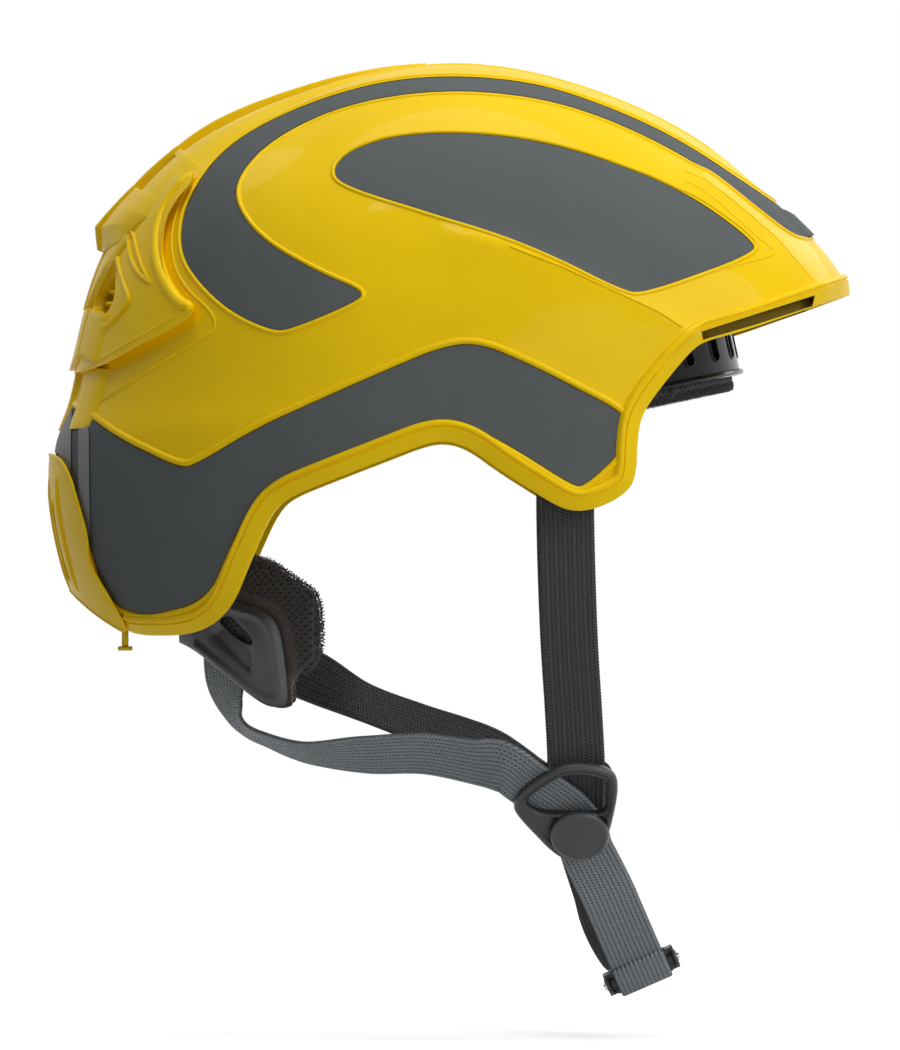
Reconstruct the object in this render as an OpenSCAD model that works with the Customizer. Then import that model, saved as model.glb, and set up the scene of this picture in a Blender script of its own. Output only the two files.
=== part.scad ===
// Climbing safety helmet, +X to the front, +Y to the wearer's left, +Z up.
// The origin is the centre of the head's seat inside the shell.

/* [Shell] */
// Half of the shell's greatest width
shell_half_w = 112; // [108:1:116]
// Wall of the moulded shell
shell_wall = 3.2; // [2.8:0.2:4]
// Roundness of the shell across its width, where 2 is an ellipse
shell_bulge = 2.3; // [2.1:0.1:2.5]
// Width of the raised band along the rim
rim_band_w = 5; // [3:0.5:7]
// Height of the raised band
rim_rise = 1; // [0.6:0.1:1.4]
// Height of the brim's side slots
brim_slot_h = 3.2; // [2:0.2:3.8]
// Length of the brim's side slots
brim_slot_len = 42; // [30:1:46]
// Height of the rear vent housing above the shell
housing_rise = 3.5; // [2:0.5:5]

/* [Inlays] */
// Thickness of the soft grey inlays
inlay_t = 1.3; // [1:0.1:1.6]
// Clearance round and under an inlay
inlay_gap = 0.3; // [0.2:0.05:0.5]
// Thickness of a reflective strip
strip_t = 0.6; // [0.4:0.1:1]

/* [Rear spine] */
// Wall of the scoops over the rear vents
scoop_wall = 2.2; // [1.6:0.2:3]
// Height of the largest scoop's tip above the shell
scoop_lift = 12; // [9:0.5:13]
// Half width of the scoops
scoop_half_w = 34; // [28:1:40]

/* [Rear cover] */
// Thickness of the ribbed cover at the back of the neck
cover_t = 2.4; // [2:0.2:3.4]
// Number of slots in the cover
cover_slots = 5; // [3:1:6]
// Width of a slot in the cover
cover_slot_w = 4.5; // [3:0.5:6]
// Height of a slot in the cover
cover_slot_h = 30; // [20:1:34]
// Width of the strap hook under the cover
hook_w = 8; // [6:1:12]

/* [Liner] */
// Thickness of the foam liner
liner_t = 16; // [12:1:20]
// Clearance between two nested shells
nest_gap = 1; // [0.6:0.1:1.2]
// Thickness of the crown pad
crown_pad_t = 7; // [5:0.5:9]
// Half length of the crown pad
crown_pad_len = 52; // [40:1:60]

/* [Headband] */
// Half length of the headband
band_half_len = 104; // [98:1:106]
// Room between the liner's inside and the headband at the sides
band_room = 7.8; // [6:0.2:12]
// Wall of the headband
band_t = 2.4; // [2:0.2:3]
// Height of the slotted brow cage
cage_h = 27; // [20:1:30]
// Height of the side bands
side_band_h = 16; // [12:1:20]
// Tilt of the headband, down at the back, in degrees
band_tilt = 12; // [8:1:14]
// Width of a slot in the brow cage
cage_slot_w = 5; // [3:0.5:7]
// Width of the lugs that hold the cage in the liner
lug_w = 9; // [6:1:12]
// Thickness of those lugs
lug_t = 3; // [2:0.5:4]
// Thickness of the brow pad
brow_pad_t = 7; // [5:0.5:9]

/* [Nape adjuster] */
// Gear module of the pinion and its racks
gear_module = 1; // [0.9:0.05:1.1]
// Number of teeth of the pinion
pinion_teeth = 12; // [11:1:13]
// Face width of the pinion
pinion_w = 5; // [4:0.5:6]
// Backlash between the pinion and a rack
backlash = 0.2; // [0.1:0.05:0.3]
// Height of a rack's back above its pitch line
rack_back = 4; // [3:0.5:5]
// Radius of the hand knob
knob_r = 17; // [14:0.5:18]
// Depth of the hand knob
knob_depth = 11; // [8:0.5:12]
// Number of grip notches on the knob
knob_notches = 16; // [12:1:20]
// Radius of the pinion's shaft
shaft_r = 3; // [2.5:0.1:3.4]
// Radial clearance of the shaft
shaft_gap = 0.1; // [0.05:0.01:0.15]
// Half length of the housing
housing_half_w = 30; // [26:1:34]
// Wall of the housing
housing_wall = 2; // [1.6:0.2:2.6]
// Thickness of a nape wing
wing_t = 3; // [2:0.2:4]
// Thickness of a nape pad
nape_pad_t = 8; // [5:0.5:10]

/* [Straps] */
// Width of the webbing
strap_w = 20; // [18:0.5:22]
// Thickness of the webbing
strap_t = 1.5; // [1.2:0.1:1.8]
// Half distance between the two strap dividers
divider_y = 77; // [72:1:82]
// Thickness of a strap divider
divider_t = 3; // [2:0.5:4]
// Radius of the round cap on a divider
cap_r = 10.8; // [9:0.2:12]
// Thickness of the round cap
cap_t = 3.6; // [3:0.2:5]

/* [Buckle] */
// Width of the buckle
buckle_w = 28; // [26:1:30]
// Thickness of the buckle
buckle_t = 8; // [7:0.5:9]
// Length of the socket
socket_len = 24; // [20:1:28]
// Length of the plug's bar block
plug_len = 13; // [11:1:15]
// Wall of the buckle
buckle_wall = 1.6; // [1.2:0.1:2]
// Thickness of a prong's arm
prong_t = 2.2; // [1.6:0.1:2.6]
// Clearance inside the buckle
buckle_gap = 0.3; // [0.2:0.05:0.5]

/* [Hidden] */

yellow = "#f8cf10";
inlay_grey = "#505455";
strip_grey = "#87888a";
black = "#1c1c1e";
plate_grey = "#3a3d42";
webbing_grey = "#697076";
foam_white = "#d9d9d4";
steel = "#a8acb0";

// Radius of the side silhouette at each angle above +X
silhouette = [
    [-90, 168], [-60, 158], [-30, 150], [0, 151], [16, 152.5], [29, 142.5],
    [42, 134.5], [65, 126], [90, 124], [115, 124.5], [138, 131.5], [158, 133.5],
    [172, 134.5], [180, 138.5], [187, 146.5], [203, 153.5], [216, 157], [240, 163],
    [270, 168]
];

// Lower edge of the shell in side view, brim to nape
rim_outline = [
    [160, 43.7], [107, 26], [95, 22.5], [89, 19], [78, 6], [70, -5], [68, -13],
    [67.5, -30], [62, -36], [52, -40.5], [44, -41], [37, -38], [18, -26], [8, -18.5],
    [0, -15.5], [-8, -16], [-44, -30], [-60, -36.5], [-66, -43], [-74, -61],
    [-80, -76], [-87, -83], [-97, -86.5], [-117, -86.5], [-130, -79], [-139, -71.5],
    [-152, -58]
];
crown_outline = [
    [140, 64], [128, 68], [122, 71], [111, 78], [82, 97], [52, 110], [28, 117],
    [-3, 119], [-30, 116], [-60, 106], [-84, 92], [-97, 72], [-99, 56], [-94, 45],
    [-81, 32], [-65, 24.5], [-58, 25], [-33, 35.5], [-32, 39], [-48, 45.5],
    [-69, 57.5], [-79, 71], [-78, 82], [-65, 96], [-39, 108.5], [-3, 114],
    [34, 111], [64, 101], [95, 84.5], [112, 70.5], [129, 58]
];
leaf_outline = [
    [-43, 84], [-36, 91], [-18, 96.5], [12, 97], [43, 92], [84, 77],
    [111, 58], [111, 53], [70, 38], [62, 38.5], [34, 53], [0, 65.5], [-40, 78]
];
lower_outline = [
    [-150, -2], [-139, -2], [-123, -14], [-98, -26], [-92, -24], [-70, -11], [-32, 6],
    [-4, 18], [10, 20], [31, 11], [62, -5], [63.5, -9], [63, -19], [49, -32],
    [45, -32], [23, -18], [6, -9], [-8, -8.5], [-51, -27], [-69, -35], [-78, -49],
    [-89, -74], [-113, -80], [-126, -74], [-133, -51], [-140, -28], [-150, -22]
];
cover_outline = [
    [-160, -20], [-145, -20], [-140, -27], [-133, -51], [-133, -60],
    [-124, -75], [-117.5, -87], [-130, -79.5], [-139, -72], [-160, -50]
];
housing_outline = [
    [-160, 80], [-121, 76], [-104, 86], [-94, 81], [-101, 73], [-105, 64], [-106, 54],
    [-104, 45], [-99, 37], [-92, 32], [-96, 29], [-129, 11], [-160, 11]
];
liner_outline = [
    [108, 31], [95, 27.5], [84, 19], [71, 3], [63, -10], [60, -26], [44, -33], [24, -20],
    [8, -9], [-8, -8], [-44, -20], [-66, -30], [-80, -40], [-160, -46],
    [-160, 140], [160, 140], [160, 48]
];
// Rear view of the vent behind each side of the spine
vent_outline = [[20, 34], [30, 53], [36, 53], [50, 36], [40, 27]];
wing_outline = [
    [-116, -52], [-98, -54], [-90, -70], [-78, -75], [-68, -77.5], [-63, -83],
    [-61, -92], [-59, -110], [-61, -113], [-67, -113], [-75, -107.5],
    [-98, -89], [-116, -86]
];
wing_window = [[-81, -79], [-73, -87], [-71.5, -100], [-74, -101], [-89, -86]];
pad_outline = [
    [-96, -66], [-84, -60], [-70, -56.5], [-55, -67], [-49, -71], [-47, -79],
    [-47, -94], [-50, -99], [-57, -105], [-55, -113], [-61, -116], [-67, -114],
    [-73, -103], [-75, -90.5], [-96, -84]
];

rack_z = gear_module * pinion_teeth / 2;
knob_at = [-112, 0, -68];
dome_steps = 40;
dome_rings = 9;
liner_steps = 36;
liner_rings = 8;

// Centres of the straps as [x, y, z] and the direction across the webbing
near_route = [
    [-83, -49, -93, 0.75, -0.66, -0.1], [-82.5, -49, -103, 0.7, -0.7, -0.1],
    [-80, -50.2, -113, 0.46, -0.86, -0.15], [-76, -52, -120, 0.25, -0.97, 0],
    [-68, -56, -125, 0.06, -0.98, 0.18], [-52, -62, -130, 0.03, -0.93, 0.36],
    [-31, -68, -130.5, 0.03, -0.75, 0.66], [-10, -73, -130, 0.03, -0.68, 0.73],
    [9, -78, -133, 0.15, -0.6, 0.78]
];
far_route = [
    [-87.6, 55.6, -92, 0, 0, 1], [-75.7, 64.4, -95, 0, 0, 1],
    [-66.5, 70.8, -98, 0, 0, 1], [-54, 74.4, -102, 0.1, 0.2, 1],
    [-34, 74.5, -112, 0.2, 0.7, 0.68], [-12, 75, -120.5, 0.2, 0.7, 0.68],
    [6, 76, -127, 0.25, 0.62, 0.72]
];
strap_steps = 4;

// The chin strap lies in a plane that leans by this angle
chin_tilt = 23.5;
chin_drop = 57;

function hermite(a, b, slope_a, slope_b, t) =
    a * (2 * t * t * t - 3 * t * t + 1) + b * (3 * t * t - 2 * t * t * t)
    + slope_a * (t * t * t - 2 * t * t + t) + slope_b * (t * t * t - t * t);
function last_knot() = len(silhouette) - 1;
function knot_slope(i) =
    i <= 0 || i >= last_knot() ? 0
    : (silhouette[i + 1][1] - silhouette[i - 1][1])
      / (silhouette[i + 1][0] - silhouette[i - 1][0]);
function knot_below(a) =
    max([for (k = [0:last_knot() - 1]) if (silhouette[k][0] <= a) k]);
function dome_r(a) =
    let (i = knot_below(a), span = silhouette[i + 1][0] - silhouette[i][0])
    hermite(silhouette[i][1], silhouette[i + 1][1], knot_slope(i) * span,
        knot_slope(i + 1) * span, (a - silhouette[i][0]) / span);

// Point of the dome at angle a in side view and angle f from its left side
function dome_point(a, f, r, inset) =
    let (across = cos(f), up = pow(max(sin(f), 0), 2 / shell_bulge))
    [up * (r - inset) * cos(a),
     sign(across) * pow(abs(across), 2 / shell_bulge) * (shell_half_w - inset),
     up * (r - inset) * sin(a)];
// Distance from the Y axis of the dome at angle a and width y
function dome_rho(a, y, inset) =
    (dome_r(a) - inset)
    * pow(max(0, 1 - pow(abs(y) / (shell_half_w - inset), shell_bulge)), 1 / shell_bulge);
// Half width of the dome at a place in side view
function dome_y(x, z, inset) =
    let (turn = atan2(z, x), a = turn < -90 ? turn + 360 : turn)
    (shell_half_w - inset)
    * pow(max(0, 1 - pow(norm([x, z]) / (dome_r(a) - inset), shell_bulge)), 1 / shell_bulge);

// Corner cutting: each corner becomes two points
function eased(points) = [
    for (i = [0:len(points) - 1]) let (next = points[(i + 1) % len(points)])
        each [0.75 * points[i] + 0.25 * next, 0.25 * points[i] + 0.75 * next]
];

function spline(a, b, c, d, t) =
    0.5 * (2 * b + (c - a) * t + (2 * a - 5 * b + 4 * c - d) * t * t
    + (3 * b - a - 3 * c + d) * t * t * t);
function route_point(route, i) = route[min(max(i, 0), len(route) - 1)];
function smooth_route(route) = [
    for (i = [0:len(route) - 2]) for (s = [0:strap_steps - 1])
        spline(route_point(route, i - 1), route[i], route[i + 1],
            route_point(route, i + 2), s / strap_steps),
    route[len(route) - 1]
];
function place(station) = [station[0], station[1], station[2]];
function unit(v) = v / norm(v);

// Lets a form made of many small faces come out as one closed mesh
module moulded() resize([0, 0, 0]) children();

module dome(inset, steps = dome_steps, rings = dome_rings) {
    turns = [for (i = [0:steps - 1]) -90 + 360 * i / steps];
    radii = [for (a = turns) dome_r(a)];
    levels = 2 * rings - 1;
    points = concat(
        [[0, shell_half_w - inset, 0]],
        [for (k = [1:levels]) for (i = [0:steps - 1])
            dome_point(turns[i], 90 * k / rings, radii[i], inset)],
        [[0, inset - shell_half_w, 0]]
    );
    last = len(points) - 1;
    faces = concat(
        [for (i = [0:steps - 1]) [0, 1 + i, 1 + (i + 1) % steps]],
        [for (k = [0:levels - 2]) for (i = [0:steps - 1])
            let (j = (i + 1) % steps, near = 1 + k * steps, far = near + steps)
            each [[near + i, far + i, far + j], [near + i, far + j, near + j]]],
        [for (i = [0:steps - 1])
            [last, last - steps + (i + 1) % steps, last - steps + i]]
    );
    polyhedron(points, faces);
}

// Prism along Y over an outline in side view
module side_prism(points, from = -150, to = 150)
    translate([0, to, 0]) rotate([90, 0, 0])
        linear_extrude(height = to - from) polygon(points);
module side_prism_grown(points, grow, from = -150, to = 150)
    translate([0, to, 0]) rotate([90, 0, 0])
        linear_extrude(height = to - from) offset(delta = grow) polygon(points);

// Skin between two depths below the outside of the shell
module skin(outer, inner) difference() {
    dome(outer);
    dome(inner);
}

module inlay_recess(points) intersection() {
    skin(-rim_rise - 1, inlay_t + inlay_gap);
    side_prism_grown(points, inlay_gap);
}
module inlay(points, from, to) intersection() {
    skin(0, inlay_t);
    side_prism(points, from, to);
}
module rim_shape(shift = 0) offset(delta = shift)
    polygon(concat(rim_outline, [[-170, -58], [-170, 170], [170, 170]]));
module brim_slots() translate([84, 0, 22.3]) rotate([0, -18, 0])
    translate([brim_slot_len / 2 + 8, 0, 1.4])
        cube([brim_slot_len, 2 * shell_half_w, brim_slot_h], center = true);
module rear_vents() for (side = [-1, 1])
    rotate([90, 0, -90]) linear_extrude(height = 160)
        polygon([for (p = vent_outline) [-side * p[0], p[1]]]);

module outer_shell() color(yellow) moulded() difference() {
    union() {
        intersection() {
            skin(0, shell_wall);
            rotate([90, 0, 0]) linear_extrude(height = 300, center = true) rim_shape();
        }
        intersection() {
            skin(-rim_rise, shell_wall / 2);
            rotate([90, 0, 0]) linear_extrude(height = 300, center = true) difference() {
                rim_shape();
                rim_shape(-rim_band_w);
                translate([-170, -120]) square([58, 100]);
            }
        }
        intersection() {
            skin(-housing_rise, shell_wall / 2);
            side_prism(housing_outline);
        }
    }
    inlay_recess(eased(crown_outline));
    inlay_recess(eased(leaf_outline));
    inlay_recess(eased(lower_outline));
    brim_slots();
    rear_vents();
}
module crown_inlay() color(inlay_grey) moulded() inlay(eased(crown_outline), -150, 150);
module side_inlay_right() color(inlay_grey) moulded() inlay(eased(leaf_outline), -150, 0);
module side_inlay_left() color(inlay_grey) moulded() inlay(eased(leaf_outline), 0, 150);
module lower_inlay_right() color(inlay_grey) moulded()
    inlay(eased(lower_outline), -150, -inlay_gap);
module lower_inlay_left() color(inlay_grey) moulded()
    inlay(eased(lower_outline), inlay_gap, 150);

// Upright light strips let into the lower inlays at the back
strip_outlines = [
    [[-150, -3], [-139, -3], [-139, -29], [-150, -29]],
    [[-136.5, -7], [-132.5, -11], [-132.2, -50], [-133.6, -51], [-136.5, -36]]
];
module reflective_strips() color(strip_grey) moulded()
    for (outline = strip_outlines) for (side = [-1, 1]) difference() {
        intersection() {
            skin(-inlay_gap - strip_t, -inlay_gap);
            side_prism(outline, side < 0 ? -150 : inlay_gap, side < 0 ? -inlay_gap : 150);
        }
        side_prism_grown(cover_outline, inlay_gap);
    }

// One scoop of the spine: it lifts off the dome from angle a0 to angle a1,
// and its free edge runs back by sweep degrees from the middle to the sides
module scoop(a0, a1, half_w, lift0, lift1, sweep, wall = scoop_wall) {
    rows = 3;
    cols = 8;
    grid = [for (i = [0:rows]) for (j = [0:cols])
        let (across = 2 * j / cols - 1, y = half_w * across,
            a = a0 + (a1 - sweep * abs(across) - a0) * i / rows,
            rise = (lift0 + (lift1 - lift0) * i / rows) * (1 - 0.5 * across * across))
        [a, y, rise]];
    function on_dome(g, depth) =
        let (rho = dome_rho(g[0], g[1], 0) + g[2] - depth)
        [rho * cos(g[0]), g[1], rho * sin(g[0])];
    points = concat([for (g = grid) on_dome(g, 0)], [for (g = grid) on_dome(g, wall)]);
    n = (rows + 1) * (cols + 1);
    function at(i, j) = i * (cols + 1) + j;
    edge = concat([for (j = [0:cols - 1]) at(0, j)], [for (i = [0:rows - 1]) at(i, cols)],
        [for (j = [cols:-1:1]) at(rows, j)], [for (i = [rows:-1:1]) at(i, 0)]);
    faces = concat(
        [for (i = [0:rows - 1]) for (j = [0:cols - 1])
            each [[at(i, j), at(i + 1, j + 1), at(i, j + 1)],
                [at(i, j), at(i + 1, j), at(i + 1, j + 1)]]],
        [for (i = [0:rows - 1]) for (j = [0:cols - 1])
            each [[n + at(i, j), n + at(i, j + 1), n + at(i + 1, j + 1)],
                [n + at(i, j), n + at(i + 1, j + 1), n + at(i + 1, j)]]],
        [for (k = [0:len(edge) - 1])
            let (a = edge[k], b = edge[(k + 1) % len(edge)])
            each [[a, n + b, n + a], [a, b, n + b]]]
    );
    polyhedron(points, faces);
}
// The spine's strip lies on the vent housing
spine_rise = housing_rise + inlay_gap + scoop_wall + 0.2;
module rear_spine() color(yellow) moulded() difference() {
    union() {
        scoop(96, 130, 9, 1.5, spine_rise, 0);
        scoop(127, 184, 9, spine_rise, spine_rise, 0);
        scoop(114, 141, scoop_half_w * 0.7, 2.6, spine_rise + 0.6, 5);
        scoop(133, 154, scoop_half_w, 4.5, scoop_lift, 9);
        scoop(150, 174, scoop_half_w * 0.55, spine_rise, spine_rise + 1.4, 10);
    }
    dome(-inlay_gap);
    intersection() {
        dome(-housing_rise - inlay_gap);
        side_prism_grown(housing_outline, inlay_gap);
    }
}

// The strap hooks stand under the cover's lower corners
hook_y = dome_y(-121.5, -84.5, -inlay_gap - cover_t / 2);
module rear_cover() color(yellow) moulded() difference() {
    union() {
        intersection() {
            skin(-inlay_gap - cover_t, -inlay_gap);
            side_prism(cover_outline);
        }
        difference() {
            for (side = [-1, 1]) translate([0, side * hook_y, 0]) {
                translate([-121.5, -hook_w / 2, -91.5]) cube([2.4, hook_w, 8.5]);
                translate([-123, -hook_w / 2 - 1, -92.8]) cube([5.4, hook_w + 2, 1.6]);
            }
            intersection() {
                dome(-inlay_gap);
                rotate([90, 0, 0]) linear_extrude(height = 300, center = true)
                    rim_shape(inlay_gap);
            }
        }
    }
    for (i = [0:cover_slots - 1])
        translate([-135, (i - (cover_slots - 1) / 2) * 2.4 * cover_slot_w, -52])
            cube([60, cover_slot_w, cover_slot_h], center = true);
}

liner_out = shell_wall + nest_gap;
liner_in = liner_out + liner_t;
band_half_w = shell_half_w - liner_in - band_room;
module impact_liner() color(foam_white) moulded() difference() {
    intersection() {
        difference() {
            dome(liner_out, liner_steps, liner_rings);
            dome(liner_in, liner_steps, liner_rings);
        }
        side_prism(liner_outline);
    }
    rear_vents();
    for (side = [-1, 1]) scale([1, side, 1])
        translate([anchor_x - strap_w / 2 - 3.5, anchor_y - 3, anchor_z - 60])
            cube([strap_w + 7, 30, 70.5]);
}
module crown_pad() color(black) moulded() difference() {
    intersection() {
        dome(liner_in + nest_gap, liner_steps, liner_rings);
        linear_extrude(height = 150)
            polygon([for (a = [0:20:340]) [crown_pad_len * cos(a), 0.7 * crown_pad_len * sin(a)]]);
    }
    dome(liner_in + nest_gap + crown_pad_t, liner_steps, liner_rings);
}

// Outline of the headband seen square to its plane
band_n = 60;
function band_point(a, grow) =
    [6 + (band_half_len + grow) * sign(cos(a)) * pow(abs(cos(a)), 0.92),
     (band_half_w + grow) * sign(sin(a)) * pow(abs(sin(a)), 0.92)];
module band_arc(from, to, grow_out, grow_in) {
    steps = ceil((to - from) / 6);
    polygon(concat(
        [for (i = [0:steps]) band_point(from + (to - from) * i / steps, grow_out)],
        [for (i = [steps:-1:0]) band_point(from + (to - from) * i / steps, grow_in)]
    ));
}
module band_frame() translate([0, 0, -13.2]) rotate([0, -band_tilt, 0]) children();
cage_end = 62;
module cage_lugs() intersection() {
    dome(liner_in + inlay_gap, liner_steps, liner_rings);
    band_frame() for (a = [-50, -18, 18, 50]) let (p = band_point(a, 0))
        translate([p[0], p[1], cage_h - lug_t]) rotate([0, 0, a])
            translate([-1, -lug_w / 2, 0]) cube([60, lug_w, lug_t]);
}
module brow_cage() color(black) moulded() {
    cage_lugs();
    slotted_band();
}
module slotted_band() band_frame() difference() {
    union() {
        linear_extrude(height = cage_h) band_arc(-cage_end, cage_end, 0, -band_t);
        linear_extrude(height = 3) band_arc(-cage_end, cage_end, 1.2, -band_t);
    }
    for (a = [-48:12:48]) let (p = band_point(a, 0))
        translate([p[0], p[1], 0]) rotate([0, 0, a]) {
            translate([-8, -cage_slot_w / 2, 9]) cube([16, cage_slot_w, cage_h - 16]);
            translate([0, 0, 9]) rotate([0, 90, 0])
                cylinder(r = cage_slot_w / 2, h = 16, center = true, $fn = 12);
            translate([0, 0, cage_h - 7]) rotate([0, 90, 0])
                cylinder(r = cage_slot_w / 2, h = 16, center = true, $fn = 12);
        }
}
module brow_pad() color(black) band_frame() translate([0, 0, -5])
    linear_extrude(height = 22)
        band_arc(-cage_end + 4, cage_end - 4, -band_t - 0.3, -band_t - 0.3 - brow_pad_t);
module headband_side(side) mirror([0, side > 0 ? 0 : 1, 0]) band_frame() {
    linear_extrude(height = side_band_h)
        band_arc(cage_end + 0.4, 177, 0, -band_t);
    translate([0, 0, 3.4]) linear_extrude(height = side_band_h - 5.4)
        band_arc(cage_end - 5, cage_end + 8, band_t, 0.05);
}
module headband_right() color(black) headband_side(-1);
module headband_left() color(black) headband_side(1);

// Planes of the adjuster along X, from the knob's seat to the head's side
run_gap = 0.4;
rear_face = knob_at[0];
gear_x = rear_face + housing_wall + run_gap;
cavity_end = gear_x + pinion_w + run_gap;
lid_end = cavity_end + housing_wall;
deep = lid_end - rear_face;
axis_z = knob_at[2];
// Shortened rack teeth clear the pinion's roots
rack_tip = 0.7 * gear_module;
tooth_root = 1.25 * gear_module;
channel_in = rack_z - rack_tip - run_gap;
channel_out = rack_z + rack_back + run_gap;
housing_top = channel_out + housing_wall;
travel = 6.3;
wing_in = housing_half_w + travel + 1.7;

module along_x(x, length) translate([x, 0, axis_z]) rotate([90, 0, 90])
    linear_extrude(height = length) children();
module shaft_hole(r, y = 0) translate([rear_face - 1, y, axis_z]) rotate([0, 90, 0])
    cylinder(r = r, h = deep + 2, $fn = 36);

screw_r = 1.1;
screw_gap = 0.05;
screw_places = [-25, -15, 15, 25];
module adjuster_housing() color(black) difference() {
    translate([rear_face, -housing_half_w, axis_z - housing_top])
        cube([cavity_end - rear_face, 2 * housing_half_w, 2 * housing_top]);
    for (side = [-1, 1])
        translate([rear_face + housing_wall, -housing_half_w - 1,
            axis_z + (side > 0 ? channel_in : -channel_out)])
            cube([deep, 2 * housing_half_w + 2, channel_out - channel_in]);
    translate([rear_face + housing_wall, 0, axis_z]) rotate([0, 90, 0])
        cylinder(r = rack_z + gear_module + run_gap, h = deep, $fn = 48);
    shaft_hole(shaft_r + shaft_gap);
    for (y = screw_places) translate([rear_face + housing_wall, y, axis_z])
        rotate([0, 90, 0]) cylinder(r = screw_r + screw_gap, h = deep, $fn = 16);
}
module adjuster_lid() color(plate_grey) difference() {
    translate([cavity_end, -housing_half_w, axis_z - housing_top])
        cube([housing_wall, 2 * housing_half_w, 2 * housing_top]);
    shaft_hole(shaft_r + shaft_gap);
    for (y = screw_places) shaft_hole(screw_r + screw_gap, y);
}
module housing_screws() color(steel)
    for (y = screw_places) translate([0, y, axis_z]) rotate([0, 90, 0]) {
        translate([0, 0, rear_face + housing_wall + 0.2])
            cylinder(r = screw_r, h = deep - housing_wall, $fn = 16);
        translate([0, 0, lid_end]) difference() {
            cylinder(r = 2 * screw_r, h = 1.2, $fn = 16);
            translate([0, 0, 0.7]) cylinder(r = screw_r, h = 1, $fn = 6);
        }
    }
module adjuster_bracket() color(black) moulded() intersection() {
    dome(shell_wall + inlay_gap);
    union() {
        translate([-160, -18, axis_z + knob_r + 1.2])
            cube([68, 36, 3]);
        translate([rear_face, -18, axis_z + housing_top])
            cube([cavity_end - rear_face, 36, knob_r + 2.2 - housing_top]);
        difference() {
            translate([-160, -18, axis_z + 2.3]) cube([40, 36, knob_r + 1.9]);
            dome(shell_wall + inlay_gap + 2.6);
        }
        translate([rear_face + 9, -14, axis_z + knob_r + 2]) cube([3, 28, 31]);
    }
}

function inv(a) = tan(a) * 180 / PI - a;
pitch_r = rack_z;
base_r = pitch_r * cos(20);
tip_r = pitch_r + gear_module;
root_r = pitch_r - tooth_root;
half_tooth = (PI * gear_module / 2 - backlash / 2) / 2;
function flank(r) =
    half_tooth / pitch_r * 180 / PI + inv(20) - (r > base_r ? inv(acos(base_r / r)) : 0);
flank_radii = [root_r, base_r, base_r + (tip_r - base_r) / 3,
    base_r + (tip_r - base_r) * 2 / 3, tip_r];
function polar(r, a) = [r * cos(a), r * sin(a)];
module adjuster_pinion() color(steel) difference() {
    along_x(gear_x, pinion_w) polygon([
        for (i = [0:pinion_teeth - 1]) let (mid = 90 + 360 * i / pinion_teeth)
            each concat([for (r = flank_radii) polar(r, mid - flank(r))],
                [for (k = [4:-1:0]) polar(flank_radii[k], mid + flank(flank_radii[k]))])
    ]);
    shaft_hole(shaft_r + 0.02);
}
module adjuster_knob() color(black) difference() {
    union() {
        translate([rear_face - 0.3 - knob_depth, 0, axis_z]) rotate([0, 90, 0]) difference() {
            cylinder(r = knob_r, h = knob_depth, $fn = 64);
            for (i = [0:knob_notches - 1]) rotate([0, 0, 360 * i / knob_notches])
                translate([knob_r + 0.5, 0, -1]) cylinder(r = 1.8, h = knob_depth - 2, $fn = 16);
            translate([0, 0, -1]) cylinder(r = knob_r - 5, h = 4, $fn = 48);
        }
        translate([rear_face - 0.6, 0, axis_z]) rotate([0, 90, 0])
            cylinder(r = shaft_r, h = deep + 0.3, $fn = 36);
    }
}

// Rack with teeth towards the pinion, its plain end carries a foot for the wing
module rack_shape(y0, y1, teeth) polygon(concat(
    [[y0, rack_back], [y0, tooth_root]],
    [for (k = [-teeth:teeth - 1]) let (mid = (k + 0.5) * PI * gear_module,
        root = half_tooth - tooth_root * tan(20), tip = half_tooth + rack_tip * tan(20))
        each [[mid - half_tooth - tooth_root * tan(20), tooth_root],
            [mid - half_tooth + rack_tip * tan(20), -rack_tip],
            [mid + half_tooth - rack_tip * tan(20), -rack_tip],
            [mid + half_tooth + tooth_root * tan(20), tooth_root]]],
    [[y1, tooth_root], [y1, rack_back]]
));
rack_end = 15;
foot_w = 7;
// The wings and pads follow this curve round the nape, seen from above
function nape_curve(grow) =
    [for (a = [90:6:270]) [-25 + (85 + grow) * cos(a), (74 + grow) * sin(a)]];
module ellipse_wall(outer, inner) linear_extrude(height = 90) difference() {
    polygon(nape_curve(outer));
    polygon(nape_curve(inner));
}
module ellipse_inside(grow) linear_extrude(height = 200, center = true)
    polygon(nape_curve(grow));
module nape_rack(up) difference() {
    union() {
        translate([0, 0, up * rack_z]) along_x(gear_x, pinion_w) mirror([0, up > 0 ? 0 : 1])
            rack_shape(-wing_in - foot_w, rack_end, 4);
        translate([gear_x, -wing_in - foot_w, axis_z + up * (rack_z + 1) - 4])
            cube([22, foot_w, 8]);
    }
    ellipse_inside(wing_t / 2);
}
module nape_rack_right() color(plate_grey) nape_rack(1);
module nape_rack_left() color(plate_grey) mirror([0, 1, 0]) nape_rack(-1);

module nape_wing() moulded() intersection() {
    union() {
        difference() {
            translate([0, 0, -130]) ellipse_wall(wing_t / 2, -wing_t / 2);
            side_prism(eased(wing_window));
        }
        intersection() {
            translate([0, 0, -130]) ellipse_wall(wing_t / 2 + 1, -wing_t / 2);
            difference() {
                side_prism_grown(wing_outline, 0);
                side_prism_grown(wing_outline, -3.5);
                translate([-120, -75, -90]) cube([29, 150, 60]);
            }
        }
    }
    side_prism(wing_outline, -90, -wing_in);
}
module nape_wing_right() color(plate_grey) nape_wing();
module nape_wing_left() color(plate_grey) mirror([0, 1, 0]) nape_wing();

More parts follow.
